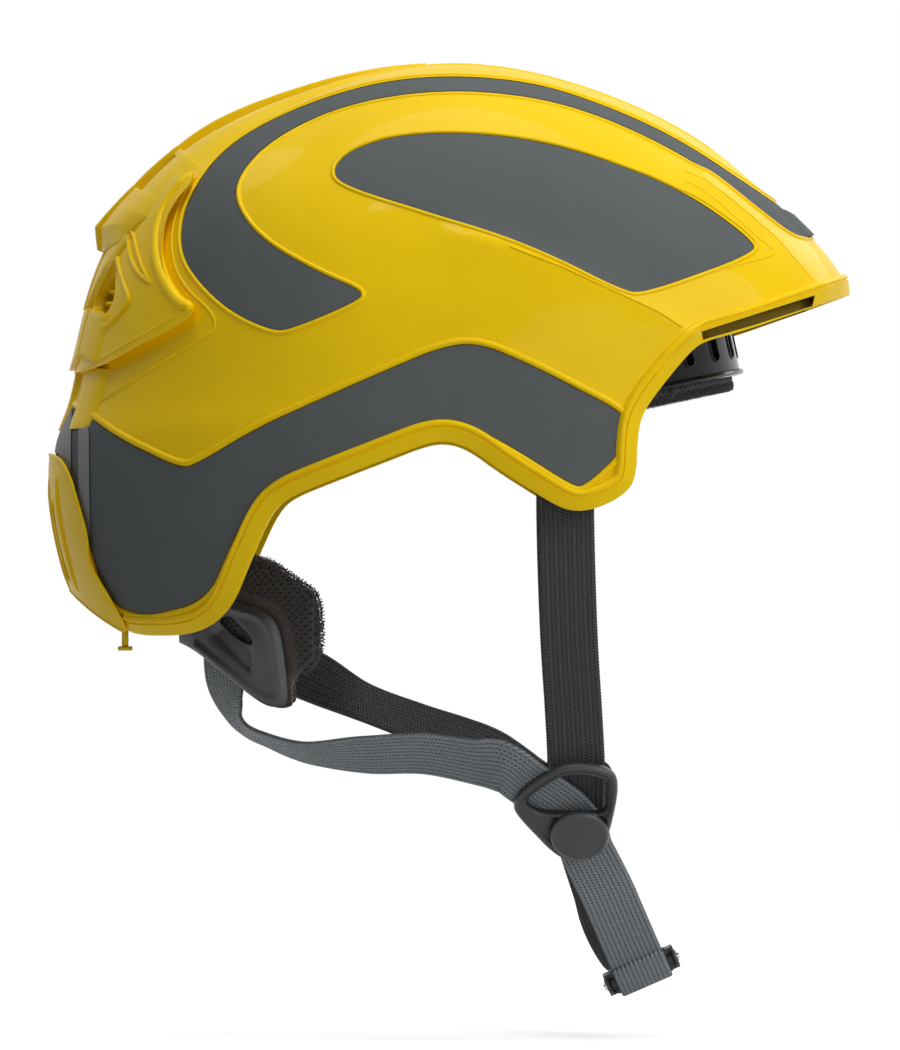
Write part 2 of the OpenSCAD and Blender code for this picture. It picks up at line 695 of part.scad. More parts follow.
// A crowned pad: its middle layer is widest and both faces draw in
module nape_pad() moulded() for (layer = [[0, 0.24, 1.6], [0.2, 0.8, 0], [0.76, 1, 2]])
    intersection() {
        translate([0, 0, -130]) ellipse_wall(
            -wing_t / 2 - 0.3 - layer[0] * nape_pad_t, -wing_t / 2 - 0.3 - layer[1] * nape_pad_t);
        side_prism_grown(eased(pad_outline), -layer[2], -90, -travel - 4);
    }
module nape_pad_right() color(black) nape_pad();
module nape_pad_left() color(black) mirror([0, 1, 0]) nape_pad();

// Webbing along a list of stations, four corners to a ring
module ribbon(stations) {
    n = len(stations);
    rings = [for (i = [0:n - 1])
        let (here = place(stations[i]), across = unit([for (k = [3:5]) stations[i][k]]),
            along = place(stations[min(i + 1, n - 1)]) - place(stations[max(i - 1, 0)]),
            out = unit(cross(along, across)))
        [here + across * strap_w / 2 + out * strap_t / 2,
         here - across * strap_w / 2 + out * strap_t / 2,
         here - across * strap_w / 2 - out * strap_t / 2,
         here + across * strap_w / 2 - out * strap_t / 2]];
    faces = concat(
        [[0, 1, 2], [0, 2, 3]],
        [for (i = [0:n - 2]) for (k = [0:3])
            let (a = 4 * i + k, b = 4 * i + (k + 1) % 4)
            each [[a, a + 4, b + 4], [a, b + 4, b]]],
        [[4 * n - 4, 4 * n - 2, 4 * n - 3], [4 * n - 4, 4 * n - 1, 4 * n - 2]]
    );
    polyhedron([for (ring = rings) each ring], faces);
}

divider_tilt = 36;
divider_z = -150;
behind = divider_t / 2 + 0.5 + strap_t / 2;
front_depth = behind + strap_t + 0.8;
// Place in the tilted plane of the right divider: side view x, height up the plane, depth inward
function in_divider(x, up, depth) =
    [x, depth * cos(divider_tilt) - up * sin(divider_tilt) - divider_y,
     depth * sin(divider_tilt) + up * cos(divider_tilt) + divider_z];
function across_divider(turn) =
    [cos(turn), -sin(turn) * sin(divider_tilt), sin(turn) * cos(divider_tilt)];
module divider_frame(side) mirror([0, side > 0 ? 1 : 0, 0])
    translate([0, -divider_y, divider_z]) rotate([divider_tilt, 0, 0]) rotate([90, 0, 0])
        children();
divider_shape = [
    [23, 2.5], [26, 9], [36, 17.3], [41, 20.4], [48, 21], [57, 19.2], [61.5, 14.2],
    [61, 3.7], [57.5, -15], [47, -24], [39, -21.5], [24, -2]
];
window_shape = [
    [27.5, 3.1], [29, 6.8], [39, 15.1], [44, 16.7], [50, 16.7], [56.5, 14.6],
    [57.7, 11.7], [57, -1.5], [33, -1.5]
];
module divider(side) divider_frame(side) difference() {
    union() {
        translate([0, 0, -divider_t / 2]) linear_extrude(height = divider_t)
            polygon(eased(divider_shape));
        translate([0, 0, divider_t / 2]) linear_extrude(height = 0.8) difference() {
            offset(delta = -0.8) polygon(eased(divider_shape));
            offset(delta = 0.8) polygon(eased(window_shape));
        }
    }
    translate([0, 0, -divider_t]) linear_extrude(height = 3 * divider_t)
        polygon(eased(window_shape));
}
module divider_right() color(black) divider(-1);
module divider_left() color(black) divider(1);
cap_local = [47.4, -9.6];
module divider_cap(side) divider_frame(side)
    translate([cap_local[0], cap_local[1], divider_t / 2 + 0.8])
        rotate_extrude($fn = 48) polygon([
            [0, 0], [cap_r - 0.8, 0], [cap_r, 0.8], [cap_r, cap_t * 0.5],
            [cap_r - 0.5, cap_t * 0.75], [cap_r - 1.6, cap_t * 0.9], [cap_r - 4, cap_t], [0, cap_t]
        ]);
module divider_cap_right() color(plate_grey) divider_cap(-1);
module divider_cap_left() color(plate_grey) divider_cap(1);

// Front straps hang from an anchor plate inside the shell and end behind the divider's cap
anchor_x = 42.5;
anchor_z = -10;
anchor_t = 2;
anchor_y = dome_y(anchor_x + strap_w / 2 + 3, anchor_z - 8, shell_wall + 0.5) - anchor_t;
function front_stations() = smooth_route(concat(
    [for (z = [anchor_z + 4, -26, -42])
        [anchor_x, -min(anchor_y - 0.3, dome_y(anchor_x + strap_w / 2, z, shell_wall + 0.8))
            + strap_t / 2, z, 1, 0, 0]],
    [[43, -97, -64, 1, 0, 0.02], [44, -92, -90, 1, -0.05, 0.04],
     [45.5, -87.5, -114, 1, -0.08, 0.06]],
    [for (up = [18, 4, -8])
        concat(in_divider(46.5, up, front_depth), across_divider(4))]
));
module front_strap_right() color(black) ribbon(front_stations());
module front_strap_left() color(black) mirror([0, 1, 0]) ribbon(front_stations());
module front_anchor() difference() {
    translate([anchor_x - strap_w / 2 - 3, -anchor_y - anchor_t, anchor_z - 8])
        cube([strap_w + 6, anchor_t, 18]);
    translate([anchor_x - strap_w / 2, -anchor_y - 2 * anchor_t, anchor_z - 3])
        cube([strap_w, 4 * anchor_t, 3]);
}
module front_anchor_right() color(black) front_anchor();
module front_anchor_left() color(black) mirror([0, 1, 0]) front_anchor();

// Stations behind a divider: side view x, height up its plane, turn and extra depth
divider_run = [[20, 16, 52, 1], [27, 10.5, 50, 0], [33, 5.5, 48, 0], [40, -0.5, 46, 0]];
function opposite(s) = [s[0], -s[1], s[2], s[3], -s[4], s[5]];
function divider_stations() = [for (s = divider_run)
    concat(in_divider(s[0], s[1], behind + s[3]), across_divider(s[2]))];
module rear_strap_right() color(webbing_grey)
    ribbon(smooth_route(concat(near_route, divider_stations())));
module rear_strap_left() color(black) ribbon(smooth_route(concat(far_route,
    [for (s = divider_stations()) opposite(s)])));

// The chin strap and its buckle lie in a frame that leans back by chin_tilt
module chin_frame() translate([70.9, 0, -211.3]) rotate([0, -chin_tilt, 0]) children();
chin_curve = [[53.4, 24], [47.5, 33.5], [41, 42.5], [33, 50.5], [26, 54.8]];
function chin_place(along, y, up) = [70.9 + along * cos(chin_tilt) - up * sin(chin_tilt), y,
    along * sin(chin_tilt) + up * cos(chin_tilt) - 211.3, cos(chin_tilt), 0, sin(chin_tilt)];
function chin_stations(end, swing) = smooth_route(concat(
    [for (s = [[46.8, -8.7, 5], [48.5, -16, 9], [50.2, -23, 14]])
        concat(in_divider(s[0], s[1], front_depth), across_divider(s[2]))],
    [for (i = [0:4]) chin_place(swing * sin(36 * (i + 1)), -chin_curve[i][0],
        chin_drop - chin_curve[i][1])],
    [for (y = [-end - 2, -end]) chin_place(0, y, 0)]
));
module chin_strap_right() color(webbing_grey)
    ribbon(chin_stations(socket_len / 2 + 0.3, 0));
// The left strap hangs a little further back than the right one
module chin_strap_left() color(black) mirror([0, 1, 0])
    ribbon(chin_stations(socket_len / 2 + plug_len + 0.3, -4));

hook_len = 7;
hook_out = 2.4;
prong_x = buckle_w / 2 - buckle_wall - buckle_gap - prong_t;
module buckle_block(y0, y1, w, t) translate([-w / 2, y0, -t / 2]) cube([w, y1 - y0, t]);
module strap_slot(y) buckle_block(y, y + 3, strap_w + 1, 3 * buckle_t);
module buckle_socket() color(black) chin_frame() difference() {
    union() {
        buckle_block(-socket_len / 2, socket_len / 2, buckle_w, buckle_t);
        buckle_block(-socket_len / 2 + 8, socket_len / 2 - 2, buckle_w - 6, buckle_t + 1.2);
    }
    buckle_block(-socket_len / 2 + 7, socket_len, buckle_w - 2 * buckle_wall,
        buckle_t - 2 * buckle_wall);
    buckle_block(-socket_len / 2 + 8, socket_len / 2 - 6, 2 * buckle_w,
        buckle_t - 2 * buckle_wall);
    strap_slot(-socket_len / 2 + 2);
}
module buckle_plug() color(black) chin_frame() difference() {
    union() {
        buckle_block(socket_len / 2 + buckle_gap, socket_len / 2 + plug_len,
            buckle_w, buckle_t);
        buckle_block(0, socket_len / 2 + buckle_gap, 8,
            buckle_t - 2 * buckle_wall - 2 * buckle_gap);
    }
    strap_slot(socket_len / 2 + plug_len - 5.5);
}
// Spring arm with a hook that snaps into the socket's side window
module buckle_prong(side) chin_frame() mirror([side > 0 ? 0 : 1, 0, 0])
    translate([0, 0, -buckle_t / 2 + buckle_wall + buckle_gap])
        linear_extrude(height = buckle_t - 2 * buckle_wall - 2 * buckle_gap) polygon([
            [prong_x, socket_len / 2 + buckle_gap],
            [prong_x, -1], [prong_x + 0.6, -3.4],
            [prong_x + prong_t, -3.4],
            [prong_x + prong_t + hook_out, 0], [prong_x + prong_t + hook_out, hook_len - 2],
            [prong_x + prong_t, hook_len - 1.4],
            [prong_x + prong_t, socket_len / 2 + buckle_gap]
        ]);
module buckle_prong_front() color(black) buckle_prong(1);
module buckle_prong_rear() color(black) buckle_prong(-1);

outer_shell();
crown_inlay();
side_inlay_right();
side_inlay_left();
lower_inlay_right();
lower_inlay_left();
reflective_strips();
rear_spine();
rear_cover();
impact_liner();
crown_pad();
brow_cage();
brow_pad();
headband_right();
headband_left();
adjuster_bracket();
adjuster_housing();
adjuster_lid();
adjuster_knob();
adjuster_pinion();
nape_rack_right();
nape_rack_left();
nape_wing_right();
nape_wing_left();
nape_pad_right();
nape_pad_left();
front_anchor_right();
front_anchor_left();
front_strap_right();
front_strap_left();
rear_strap_right();
rear_strap_left();
divider_right();
divider_left();
divider_cap_right();
divider_cap_left();
chin_strap_right();
chin_strap_left();
buckle_socket();
buckle_plug();
buckle_prong_front();
buckle_prong_rear();
housing_screws();
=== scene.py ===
import math

import bmesh
import bpy
import numpy as np
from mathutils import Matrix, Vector


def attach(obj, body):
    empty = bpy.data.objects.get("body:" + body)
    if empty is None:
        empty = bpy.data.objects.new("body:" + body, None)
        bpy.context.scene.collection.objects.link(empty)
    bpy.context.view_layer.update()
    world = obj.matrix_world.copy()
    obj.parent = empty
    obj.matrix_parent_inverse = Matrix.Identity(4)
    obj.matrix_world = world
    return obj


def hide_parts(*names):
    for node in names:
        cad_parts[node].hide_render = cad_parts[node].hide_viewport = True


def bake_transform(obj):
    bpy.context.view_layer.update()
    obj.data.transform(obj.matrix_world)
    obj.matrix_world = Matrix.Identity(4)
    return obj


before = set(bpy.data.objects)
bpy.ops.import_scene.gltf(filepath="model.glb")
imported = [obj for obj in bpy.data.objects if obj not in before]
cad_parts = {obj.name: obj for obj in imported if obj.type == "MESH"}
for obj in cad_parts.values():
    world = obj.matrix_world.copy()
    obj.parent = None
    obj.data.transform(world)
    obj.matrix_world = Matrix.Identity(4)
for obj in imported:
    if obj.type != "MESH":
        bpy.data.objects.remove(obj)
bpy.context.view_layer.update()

mm = 0.001

# Everything on the shell follows one rounded form: a side silhouette given as
# radius by angle, swollen sideways by a power law. Sizes here are millimetres.
shellForm = {
    "halfWidth": 112.0,
    "bulge": 2.3,
    "wall": 3.2,
    "silhouette": [
        (-90, 168), (-60, 158), (-30, 150), (0, 151), (16, 152.5), (29, 142.5),
        (42, 134.5), (65, 126), (90, 124), (115, 124.5), (138, 131.5), (158, 133.5),
        (172, 134.5), (180, 138.5), (187, 146.5), (203, 153.5), (216, 157), (240, 163),
        (270, 168)],
}
outlines = {
    "rim": [
        (160, 43.4), (107, 24.8), (95, 21.7), (89, 19), (78, 6), (70, -5), (68, -13),
        (67.5, -30), (62, -36), (52, -40.5), (44, -41), (37, -38), (18, -26), (8, -18.5),
        (0, -15.5), (-8, -16), (-44, -30), (-60, -36.5), (-66, -43), (-74, -61),
        (-80, -76), (-87, -83), (-97, -86.5), (-117, -86.5), (-130, -79), (-139, -71.5),
        (-152, -58)],
    "crown": [
        (140, 64), (128, 68), (122, 71), (111, 78), (82, 97), (52, 110), (28, 117),
        (-3, 119), (-30, 116), (-60, 106), (-84, 92), (-97, 72), (-99, 56), (-94, 45),
        (-81, 32), (-65, 24.5), (-58, 25), (-33, 35.5), (-32, 39), (-48, 45.5),
        (-69, 57.5), (-79, 71), (-78, 82), (-65, 96), (-39, 108.5), (-3, 114),
        (34, 111), (64, 101), (95, 84.5), (112, 70.5), (129, 58)],
    "leaf": [
        (-43, 84), (-36, 91), (-18, 96.5), (12, 97), (43, 92), (84, 77), (111, 58),
        (111, 53), (70, 38), (62, 38.5), (34, 53), (0, 65.5), (-40, 78)],
    "lower": [
        (-150, -2), (-139, -2), (-123, -14), (-98, -26), (-92, -24), (-70, -11),
        (-32, 6), (-4, 18), (10, 20), (31, 11), (62, -5), (63.5, -9), (63, -19),
        (49, -32), (45, -32), (23, -18), (6, -9), (-8, -8.5), (-51, -27), (-69, -35),
        (-78, -49), (-89, -74), (-113, -80), (-126, -74), (-133, -51), (-140, -28),
        (-150, -22)],
    "cover": [
        (-160, -20), (-145, -20), (-140, -27), (-133, -51), (-133, -60), (-124, -75),
        (-117.5, -87), (-130, -79.5), (-139, -72), (-160, -50)],
    "liner": [
        (108, 31), (95, 27.5), (84, 19), (71, 3), (63, -10), (60, -26), (44, -33),
        (24, -20), (8, -9), (-8, -8), (-44, -20), (-66, -30), (-80, -40), (-160, -46),
        (-160, 140), (160, 140), (160, 48)],
    "vent": [(20, 34), (30, 53), (36, 53), (50, 36), (40, 27)],
}

knotAngle = np.array([k[0] for k in shellForm["silhouette"]], float)
knotRadius = np.array([k[1] for k in shellForm["silhouette"]], float)
knotSlope = np.zeros(len(knotAngle))
knotSlope[1:-1] = (knotRadius[2:] - knotRadius[:-2]) / (knotAngle[2:] - knotAngle[:-2])


def domeRadius(angle):
    angle = (np.asarray(angle, float) + 90) % 360 - 90
    i = np.clip(np.searchsorted(knotAngle, angle, side="right") - 1, 0, len(knotAngle) - 2)
    span = knotAngle[i + 1] - knotAngle[i]
    t = (angle - knotAngle[i]) / span
    return (knotRadius[i] * (2 * t**3 - 3 * t**2 + 1) + knotRadius[i + 1] * (3 * t**2 - 2 * t**3)
            + knotSlope[i] * span * (t**3 - 2 * t**2 + t)
            + knotSlope[i + 1] * span * (t**3 - t**2))


def sideAngle(x, z):
    return np.degrees(np.arctan2(z, x))


# 1 on the form, below 1 inside it
def domeLevel(points, height=0.0):
    n = shellForm["bulge"]
    rho = np.hypot(points[..., 0], points[..., 2])
    radius = domeRadius(sideAngle(points[..., 0], points[..., 2])) + height
    return ((np.abs(points[..., 1]) / (shellForm["halfWidth"] + height))**n
            + (rho / radius)**n)**(1 / n)


# Moves points along their ray from the centre until they lie on the form
def toDome(points, height=0.0):
    points = np.asarray(points, float)
    return points / domeLevel(points, np.asarray(height, float))[..., None]


def domeNormal(points):
    points = np.asarray(points, float)
    slope = np.stack([
        domeLevel(points + step) - domeLevel(points - step) for step in np.eye(3) * 0.05], -1)
    return slope / np.linalg.norm(slope, axis=-1, keepdims=True)


# Side view place to the form; side is -1 for the wearer's right
def fromSide(x, z, side, height):
    n = shellForm["bulge"]
    radius = domeRadius(sideAngle(x, z)) + height
    y = (shellForm["halfWidth"] + height) * np.maximum(
        0, 1 - (np.hypot(x, z) / radius)**n)**(1 / n)
    return np.stack([x + 0 * y, side * y, z + 0 * y], -1)


# Rear view place to the form
def fromRear(y, z, height):
    n = shellForm["bulge"]
    y, z = np.broadcast_arrays(np.asarray(y, float), np.asarray(z, float))
    reach = np.maximum(0, 1 - (np.abs(y) / (shellForm["halfWidth"] + height))**n)**(1 / n)
    x = np.full(z.shape, -120.0)
    for _ in range(15):
        rho = (domeRadius(sideAngle(x, z)) + height) * reach
        x = -np.sqrt(np.maximum(rho**2 - z**2, 1))
    return np.stack([x, y, z], -1)


# Half width y and turn round the Y axis to the form
def fromTurn(angle, y, height):
    n = shellForm["bulge"]
    rho = domeRadius(angle) * np.maximum(
        0, 1 - (np.abs(y) / shellForm["halfWidth"])**n)**(1 / n) + height
    turn = np.radians(angle)
    return np.stack([rho * np.cos(turn), y + 0 * rho, rho * np.sin(turn)], -1)


# Cuts corners three times, each cut less than half the one before
def rounded(points, reach, closed=True):
    points = np.asarray(points, float)
    for _ in range(3):
        corners = []
        for i, corner in enumerate(points):
            if not closed and i in (0, len(points) - 1):
                corners.append(corner)
                continue
            for end in (points[i - 1], points[(i + 1) % len(points)]):
                span = np.linalg.norm(end - corner)
                corners.append(corner + (end - corner) * min(0.25, reach / max(span, 1e-6)))
        points = np.array(corners)
        reach /= 2.2
    return points


def resampled(points, step, closed=False):
    points = np.asarray(points, float)
    if closed:
        points = np.vstack([points, points[:1]])
    lengths = np.r_[0, np.cumsum(np.linalg.norm(np.diff(points, axis=0), axis=1))]
    count = max(2, int(round(lengths[-1] / step)) + 1)
    wanted = np.linspace(0, lengths[-1], count)
    if closed:
        wanted = wanted[:-1]
    return np.stack([np.interp(wanted, lengths, points[:, k]) for k in range(points.shape[1])], 1)


# Moves a closed outline outward
def shifted(points, amount):
    points = np.asarray(points, float)
    after = np.roll(points, -1, 0)
    along = after - np.roll(points, 1, 0)
    out = np.stack([along[:, 1], -along[:, 0]], 1)
    out /= np.maximum(np.linalg.norm(out, axis=1, keepdims=True), 1e-9)
    area = np.sum(points[:, 0] * after[:, 1] - after[:, 0] * points[:, 1])
    return points + amount * out * np.sign(area)


# Cuts a side view outline into the stretches that lie on the form
def surfaceRoutes(points, side, height, step, closed=True):
    fine = resampled(points, 0.2, closed)
    if closed:
        fine = np.vstack([fine, fine[:1]])
    edge = domeRadius(sideAngle(fine[:, 0], fine[:, 1])) + height
    inside = np.hypot(fine[:, 0], fine[:, 1]) < edge - 0.02
    if inside.all():
        return [(resampled(fromSide(fine[:-1, 0], fine[:-1, 1], side, height), step, closed),
                 closed)]
    first = int(np.argmin(inside)) if closed else 0
    order = np.roll(np.arange(len(fine) - 1), -first) if closed else np.arange(len(fine))
    routes, run = [], []
    for i in list(order) + [None]:
        if i is not None and inside[i]:
            run.append(fine[i])
        elif run:
            run = np.array(run)
            route = fromSide(run[:, 0], run[:, 1], side, height)
            for end, at in ((0, route[0]), (1, route[-1])):
                if abs(at[1]) < 12:
                    middle = toDome(np.array([at[0], 0, at[2]]), height)
                    route = np.vstack([route, middle] if end else [middle, route])
            if len(route) > 20:
                routes.append((resampled(route, step), False))
            run = []
    return routes


def linked(name, data):
    piece = bpy.data.objects.new(name, data)
    bpy.context.collection.objects.link(piece)
    return piece


def meshPiece(name, points, faces, material=None, smooth=True):
    mesh = bpy.data.meshes.new(name)
    mesh.from_pydata((np.asarray(points, float) * mm).tolist(), [], faces)
    piece = linked(name, mesh)
    if material:
        mesh.materials.append(material)
    if smooth:
        mesh.shade_smooth()
    return piece


# A grid of points, optionally closed round either way, as quads
def gridFaces(rows, cols, wrapRows=False, wrapCols=False):
    faces = []
    for i in range(rows if wrapRows else rows - 1):
        for j in range(cols if wrapCols else cols - 1):
            a, b = i * cols, (i + 1) % rows * cols
            faces.append((a + j, a + (j + 1) % cols, b + (j + 1) % cols, b + j))
    return faces


# The two end faces of a swept grid that is closed round its columns
def endCaps(rows, cols):
    return [tuple(range(cols))[::-1], tuple((rows - 1) * cols + i for i in range(cols))]


def sweptPiece(name, grid, material):
    rows, cols = grid.shape[:2]
    faces = gridFaces(rows, cols, wrapCols=True) + endCaps(rows, cols)
    return outward(meshPiece(name, grid.reshape(-1, 3), faces, material))


def prismFaces(count):
    walls = [(i, (i + 1) % count, count + (i + 1) % count, count + i) for i in range(count)]
    return walls + endCaps(2, count)


# Merges doubles, then turns the faces outward
def outward(piece):
    form = bmesh.new()
    form.from_mesh(piece.data)
    bmesh.ops.remove_doubles(form, verts=form.verts, dist=1e-6)
    bmesh.ops.recalc_face_normals(form, faces=form.faces)
    form.to_mesh(piece.data)
    form.free()
    return piece


# Leaves a plain mesh, also of a curve
def bakeModifiers(piece):
    bpy.context.view_layer.update()
    depsgraph = bpy.context.evaluated_depsgraph_get()
    result = bpy.data.meshes.new_from_object(piece.evaluated_get(depsgraph))
    piece.modifiers.clear()
    if piece.type == "MESH":
        piece.data = result
        result.name = piece.name
        return piece
    plain = linked(piece.name, result)
    bpy.data.objects.remove(piece)
    return plain


def carve(piece, cutter, operation="DIFFERENCE"):
    cut = piece.modifiers.new("cut", "BOOLEAN")
    cut.operation, cut.object, cut.solver = operation, cutter, "MANIFOLD"
    bakeModifiers(piece)
    bpy.data.objects.remove(cutter)
    return piece


def repaint(piece, material):
    piece.data.materials.clear()
    piece.data.materials.append(material)
    piece.data.polygons.foreach_set("material_index", np.zeros(len(piece.data.polygons), int))
    return piece


# One piece from several, which keep their materials
def joined(name, parts):
    form = bmesh.new()
    materials = []
    for part in parts:
        start = len(form.faces)
        form.from_mesh(part.data)
        form.faces.ensure_lookup_table()
        places = []
        for material in part.data.materials:
            if material not in materials:
                materials.append(material)
            places.append(materials.index(material))
        for face in form.faces[start:]:
            face.material_index = places[face.material_index] if places else 0
    mesh = bpy.data.meshes.new(name)
    form.to_mesh(mesh)
    form.free()
    for part in parts:
        bpy.data.objects.remove(part)
    for material in materials:
        mesh.materials.append(material)
    return linked(name, mesh)


def finishPiece(piece, body, slotName, *nodes, sharp=None):
    if sharp:
        piece.data.set_sharp_from_angle(angle=math.radians(sharp))
    if body:
        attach(piece, body)
    if nodes:
        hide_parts(*nodes)
    return piece


def blockBetween(low, high):
    corners = [(x, y, z) for x in (low[0], high[0]) for y in (low[1], high[1])
               for z in (low[2], high[2])]
    return outward(meshPiece("block", corners, [
        (0, 1, 3, 2), (4, 6, 7, 5), (0, 4, 5, 1), (2, 3, 7, 6), (0, 2, 6, 4), (1, 5, 7, 3)],
        smooth=False))


# Prism along Y between two side view planes
def sidePrism(points, low=-150.0, high=150.0):
    count = len(points)
    ends = [[(p[0], y, p[1]) for p in points] for y in (low, high)]
    form = bmesh.new()
    verts = [form.verts.new(np.array(v) * mm) for v in ends[0] + ends[1]]
    caps = [form.faces.new(verts[:count]), form.faces.new(verts[count:][::-1])]
    for wall in prismFaces(count)[:count]:
        form.faces.new([verts[i] for i in wall])
    bmesh.ops.recalc_face_normals(form, faces=form.faces)
    bmesh.ops.triangulate(form, faces=caps)
    mesh = bpy.data.meshes.new("prism")
    form.to_mesh(mesh)
    form.free()
    return linked("prism", mesh)


# Distance to an outline in side view, above 0 inside it
def insideDistance(places, outline):
    outline = np.asarray(outline, float)
    after = np.roll(outline, -1, 0)
    nearest = np.full(len(places), 1e9)
    inside = np.zeros(len(places), bool)
    for a, b in zip(outline, after):
        edge = b - a
        t = np.clip(((places - a) @ edge) / max(edge @ edge, 1e-9), 0, 1)
        nearest = np.minimum(nearest, np.hypot(*(places - a - t[:, None] * edge).T))
        spans = (a[1] > places[:, 1]) != (b[1] > places[:, 1])
        if abs(edge[1]) > 1e-9:
            crossing = a[0] + (places[:, 1] - a[1]) * edge[0] / edge[1]
            inside ^= spans & (places[:, 0] < crossing)
    return np.where(inside, nearest, -nearest)


# Distance to an open line, above 0 on its left, and how far along it, 0 to 1
def lineDistance(places, line):
    line = np.asarray(line, float)
    spans = np.linalg.norm(np.diff(line, axis=0), axis=1)
    before = np.r_[0, np.cumsum(spans)]
    nearest = np.full(len(places), 1e9)
    signed, along = np.zeros(len(places)), np.zeros(len(places))
    for k, (a, b) in enumerate(zip(line[:-1], line[1:])):
        edge = b - a
        t = np.clip(((places - a) @ edge) / (edge @ edge), 0, 1)
        gap = places - a - t[:, None] * edge
        far = np.hypot(gap[:, 0], gap[:, 1])
        left = np.sign(edge[0] * (places[:, 1] - a[1]) - edge[1] * (places[:, 0] - a[0]))
        closer = far < nearest
        nearest = np.where(closer, far, nearest)
        signed = np.where(closer, left * far, signed)
        along = np.where(closer, (before[k] + t * spans[k]) / before[-1], along)
    return signed, along


def eased(t):
    t = np.clip(t, 0, 1)
    return t * t * (3 - 2 * t)


creases = [
    {"line": [(87, 21.5), (83.3, 25.3), (74.7, 30.9), (63, 36.3), (40.7, 46.6), (21, 54.3),
              (4, 58.6), (-12, 60)], "rise": 2.3, "left": 30, "right": 13,
     "facet": 2, "front": 0.01, "back": 0.25},
    {"line": [(141, 33), (132.1, 43), (118.7, 58.6), (104.5, 70.6), (94.6, 78.2), (86.1, 84.1)],
     "rise": 1.5, "left": 22, "right": 11, "facet": 1, "front": 0.12, "back": 0.12},
]


# How far the moulding stands out from the plain form
def mouldHeight(points):
    flat = points.reshape(-1, 3)
    places = flat[:, [0, 2]]
    height = np.zeros(len(flat))
    for crease in creases:
        signed, along = lineDistance(places, crease["line"])
        left = np.clip(1 - signed / crease["left"], 0, 1)**2
        right = np.clip(1 + signed / crease["right"], 0, 1)**crease["facet"]
        ends = eased(along / crease["front"]) * eased((1 - along) / crease["back"])
        height += crease["rise"] * np.where(signed > 0, left, right) * ends
    away = np.abs(flat[:, 1])
    top = eased((flat[:, 2] - 78) / 16) * eased((flat[:, 0] + 60) / 20)
    height += top * 0.7 * (1 - eased((away - 3.2) / 1.6))  # a flat ridge over the middle
    height -= top * 0.6 * np.exp(-((away - 6.5) / 1.4)**2)  # and a shallow groove beside it
    return height.reshape(points.shape[:-1])


# Even places round a section of the form, closer in a middle strip
def sectionPlaces(step, middleStep, middle):
    turn = np.linspace(0, np.pi, 24001)
    across = np.sign(np.cos(turn)) * np.abs(np.cos(turn))**(2 / shellForm["bulge"])
    up = np.sin(turn)**(2 / shellForm["bulge"])
    spans = np.hypot(np.diff(across * shellForm["halfWidth"]), np.diff(up * 140))
    close = np.abs(across[1:]) * shellForm["halfWidth"] < middle
    progress = np.r_[0, np.cumsum(spans / np.where(close, middleStep, step))]
    count = int(progress[-1])
    wanted = np.linspace(0, progress[-1], count + 1)[1:-1]
    return np.interp(wanted, progress, across), np.interp(wanted, progress, up)


# Grid over the whole form at a height, or at a height given by place
def domeShell(angles, sections, height):
    across, up = (v[:, None] for v in sections)
    radius = domeRadius(angles)[None, :]
    cosine, sine = np.cos(np.radians(angles))[None, :], np.sin(np.radians(angles))[None, :]

    def place(h):
        return np.stack(np.broadcast_arrays(
            up * (radius + h) * cosine, across * (shellForm["halfWidth"] + h),
            up * (radius + h) * sine), -1)
    rise = height(place(0.0)) if callable(height) else height
    grid = place(rise)
    rows, cols = grid.shape[:2]
    end = shellForm["halfWidth"] + (0.0 if callable(height) else height)
    points = np.vstack([grid.reshape(-1, 3), [[0, end, 0], [0, -end, 0]]])
    faces = gridFaces(rows, cols, wrapCols=True)
    last = (rows - 1) * cols
    for j in range(cols):
        k = (j + 1) % cols
        faces.append((rows * cols, k, j))
        faces.append((rows * cols + 1, last + j, last + k))
    return points, faces


fineAngles = np.r_[np.arange(-50, 236, 0.6), np.arange(236, 310, 4.0)]
coarseAngles = np.arange(-90, 270, 3.0)


# A closed skin between two heights; its outer face may be moulded
def domeSkin(name, outer, inner, fine=True):
    angles = fineAngles if fine else coarseAngles
    sections = sectionPlaces(2.0, 1.0, 14) if fine else sectionPlaces(5, 5, 0)
    points, faces = domeShell(angles, sections, outer)
    coarse = sectionPlaces(4.5, 4.5, 0)
    under, underFaces = domeShell(coarseAngles, coarse, inner)
    count = len(points)
    faces += [tuple(count + i for i in face[::-1]) for face in underFaces]
    return meshPiece(name, np.vstack([points, under]), faces)


print("materials")


# A node with its settings, each socket linked or given a value
def addNode(tree, kind, sockets=None, **settings):
    node = tree.nodes.new(kind)
    for key, value in settings.items():
        setattr(node, key, value)
    for key, value in (sockets or {}).items():
        if isinstance(value, bpy.types.NodeSocket):
            tree.links.new(value, node.inputs[key])
        else:
            node.inputs[key].default_value = value
    return node


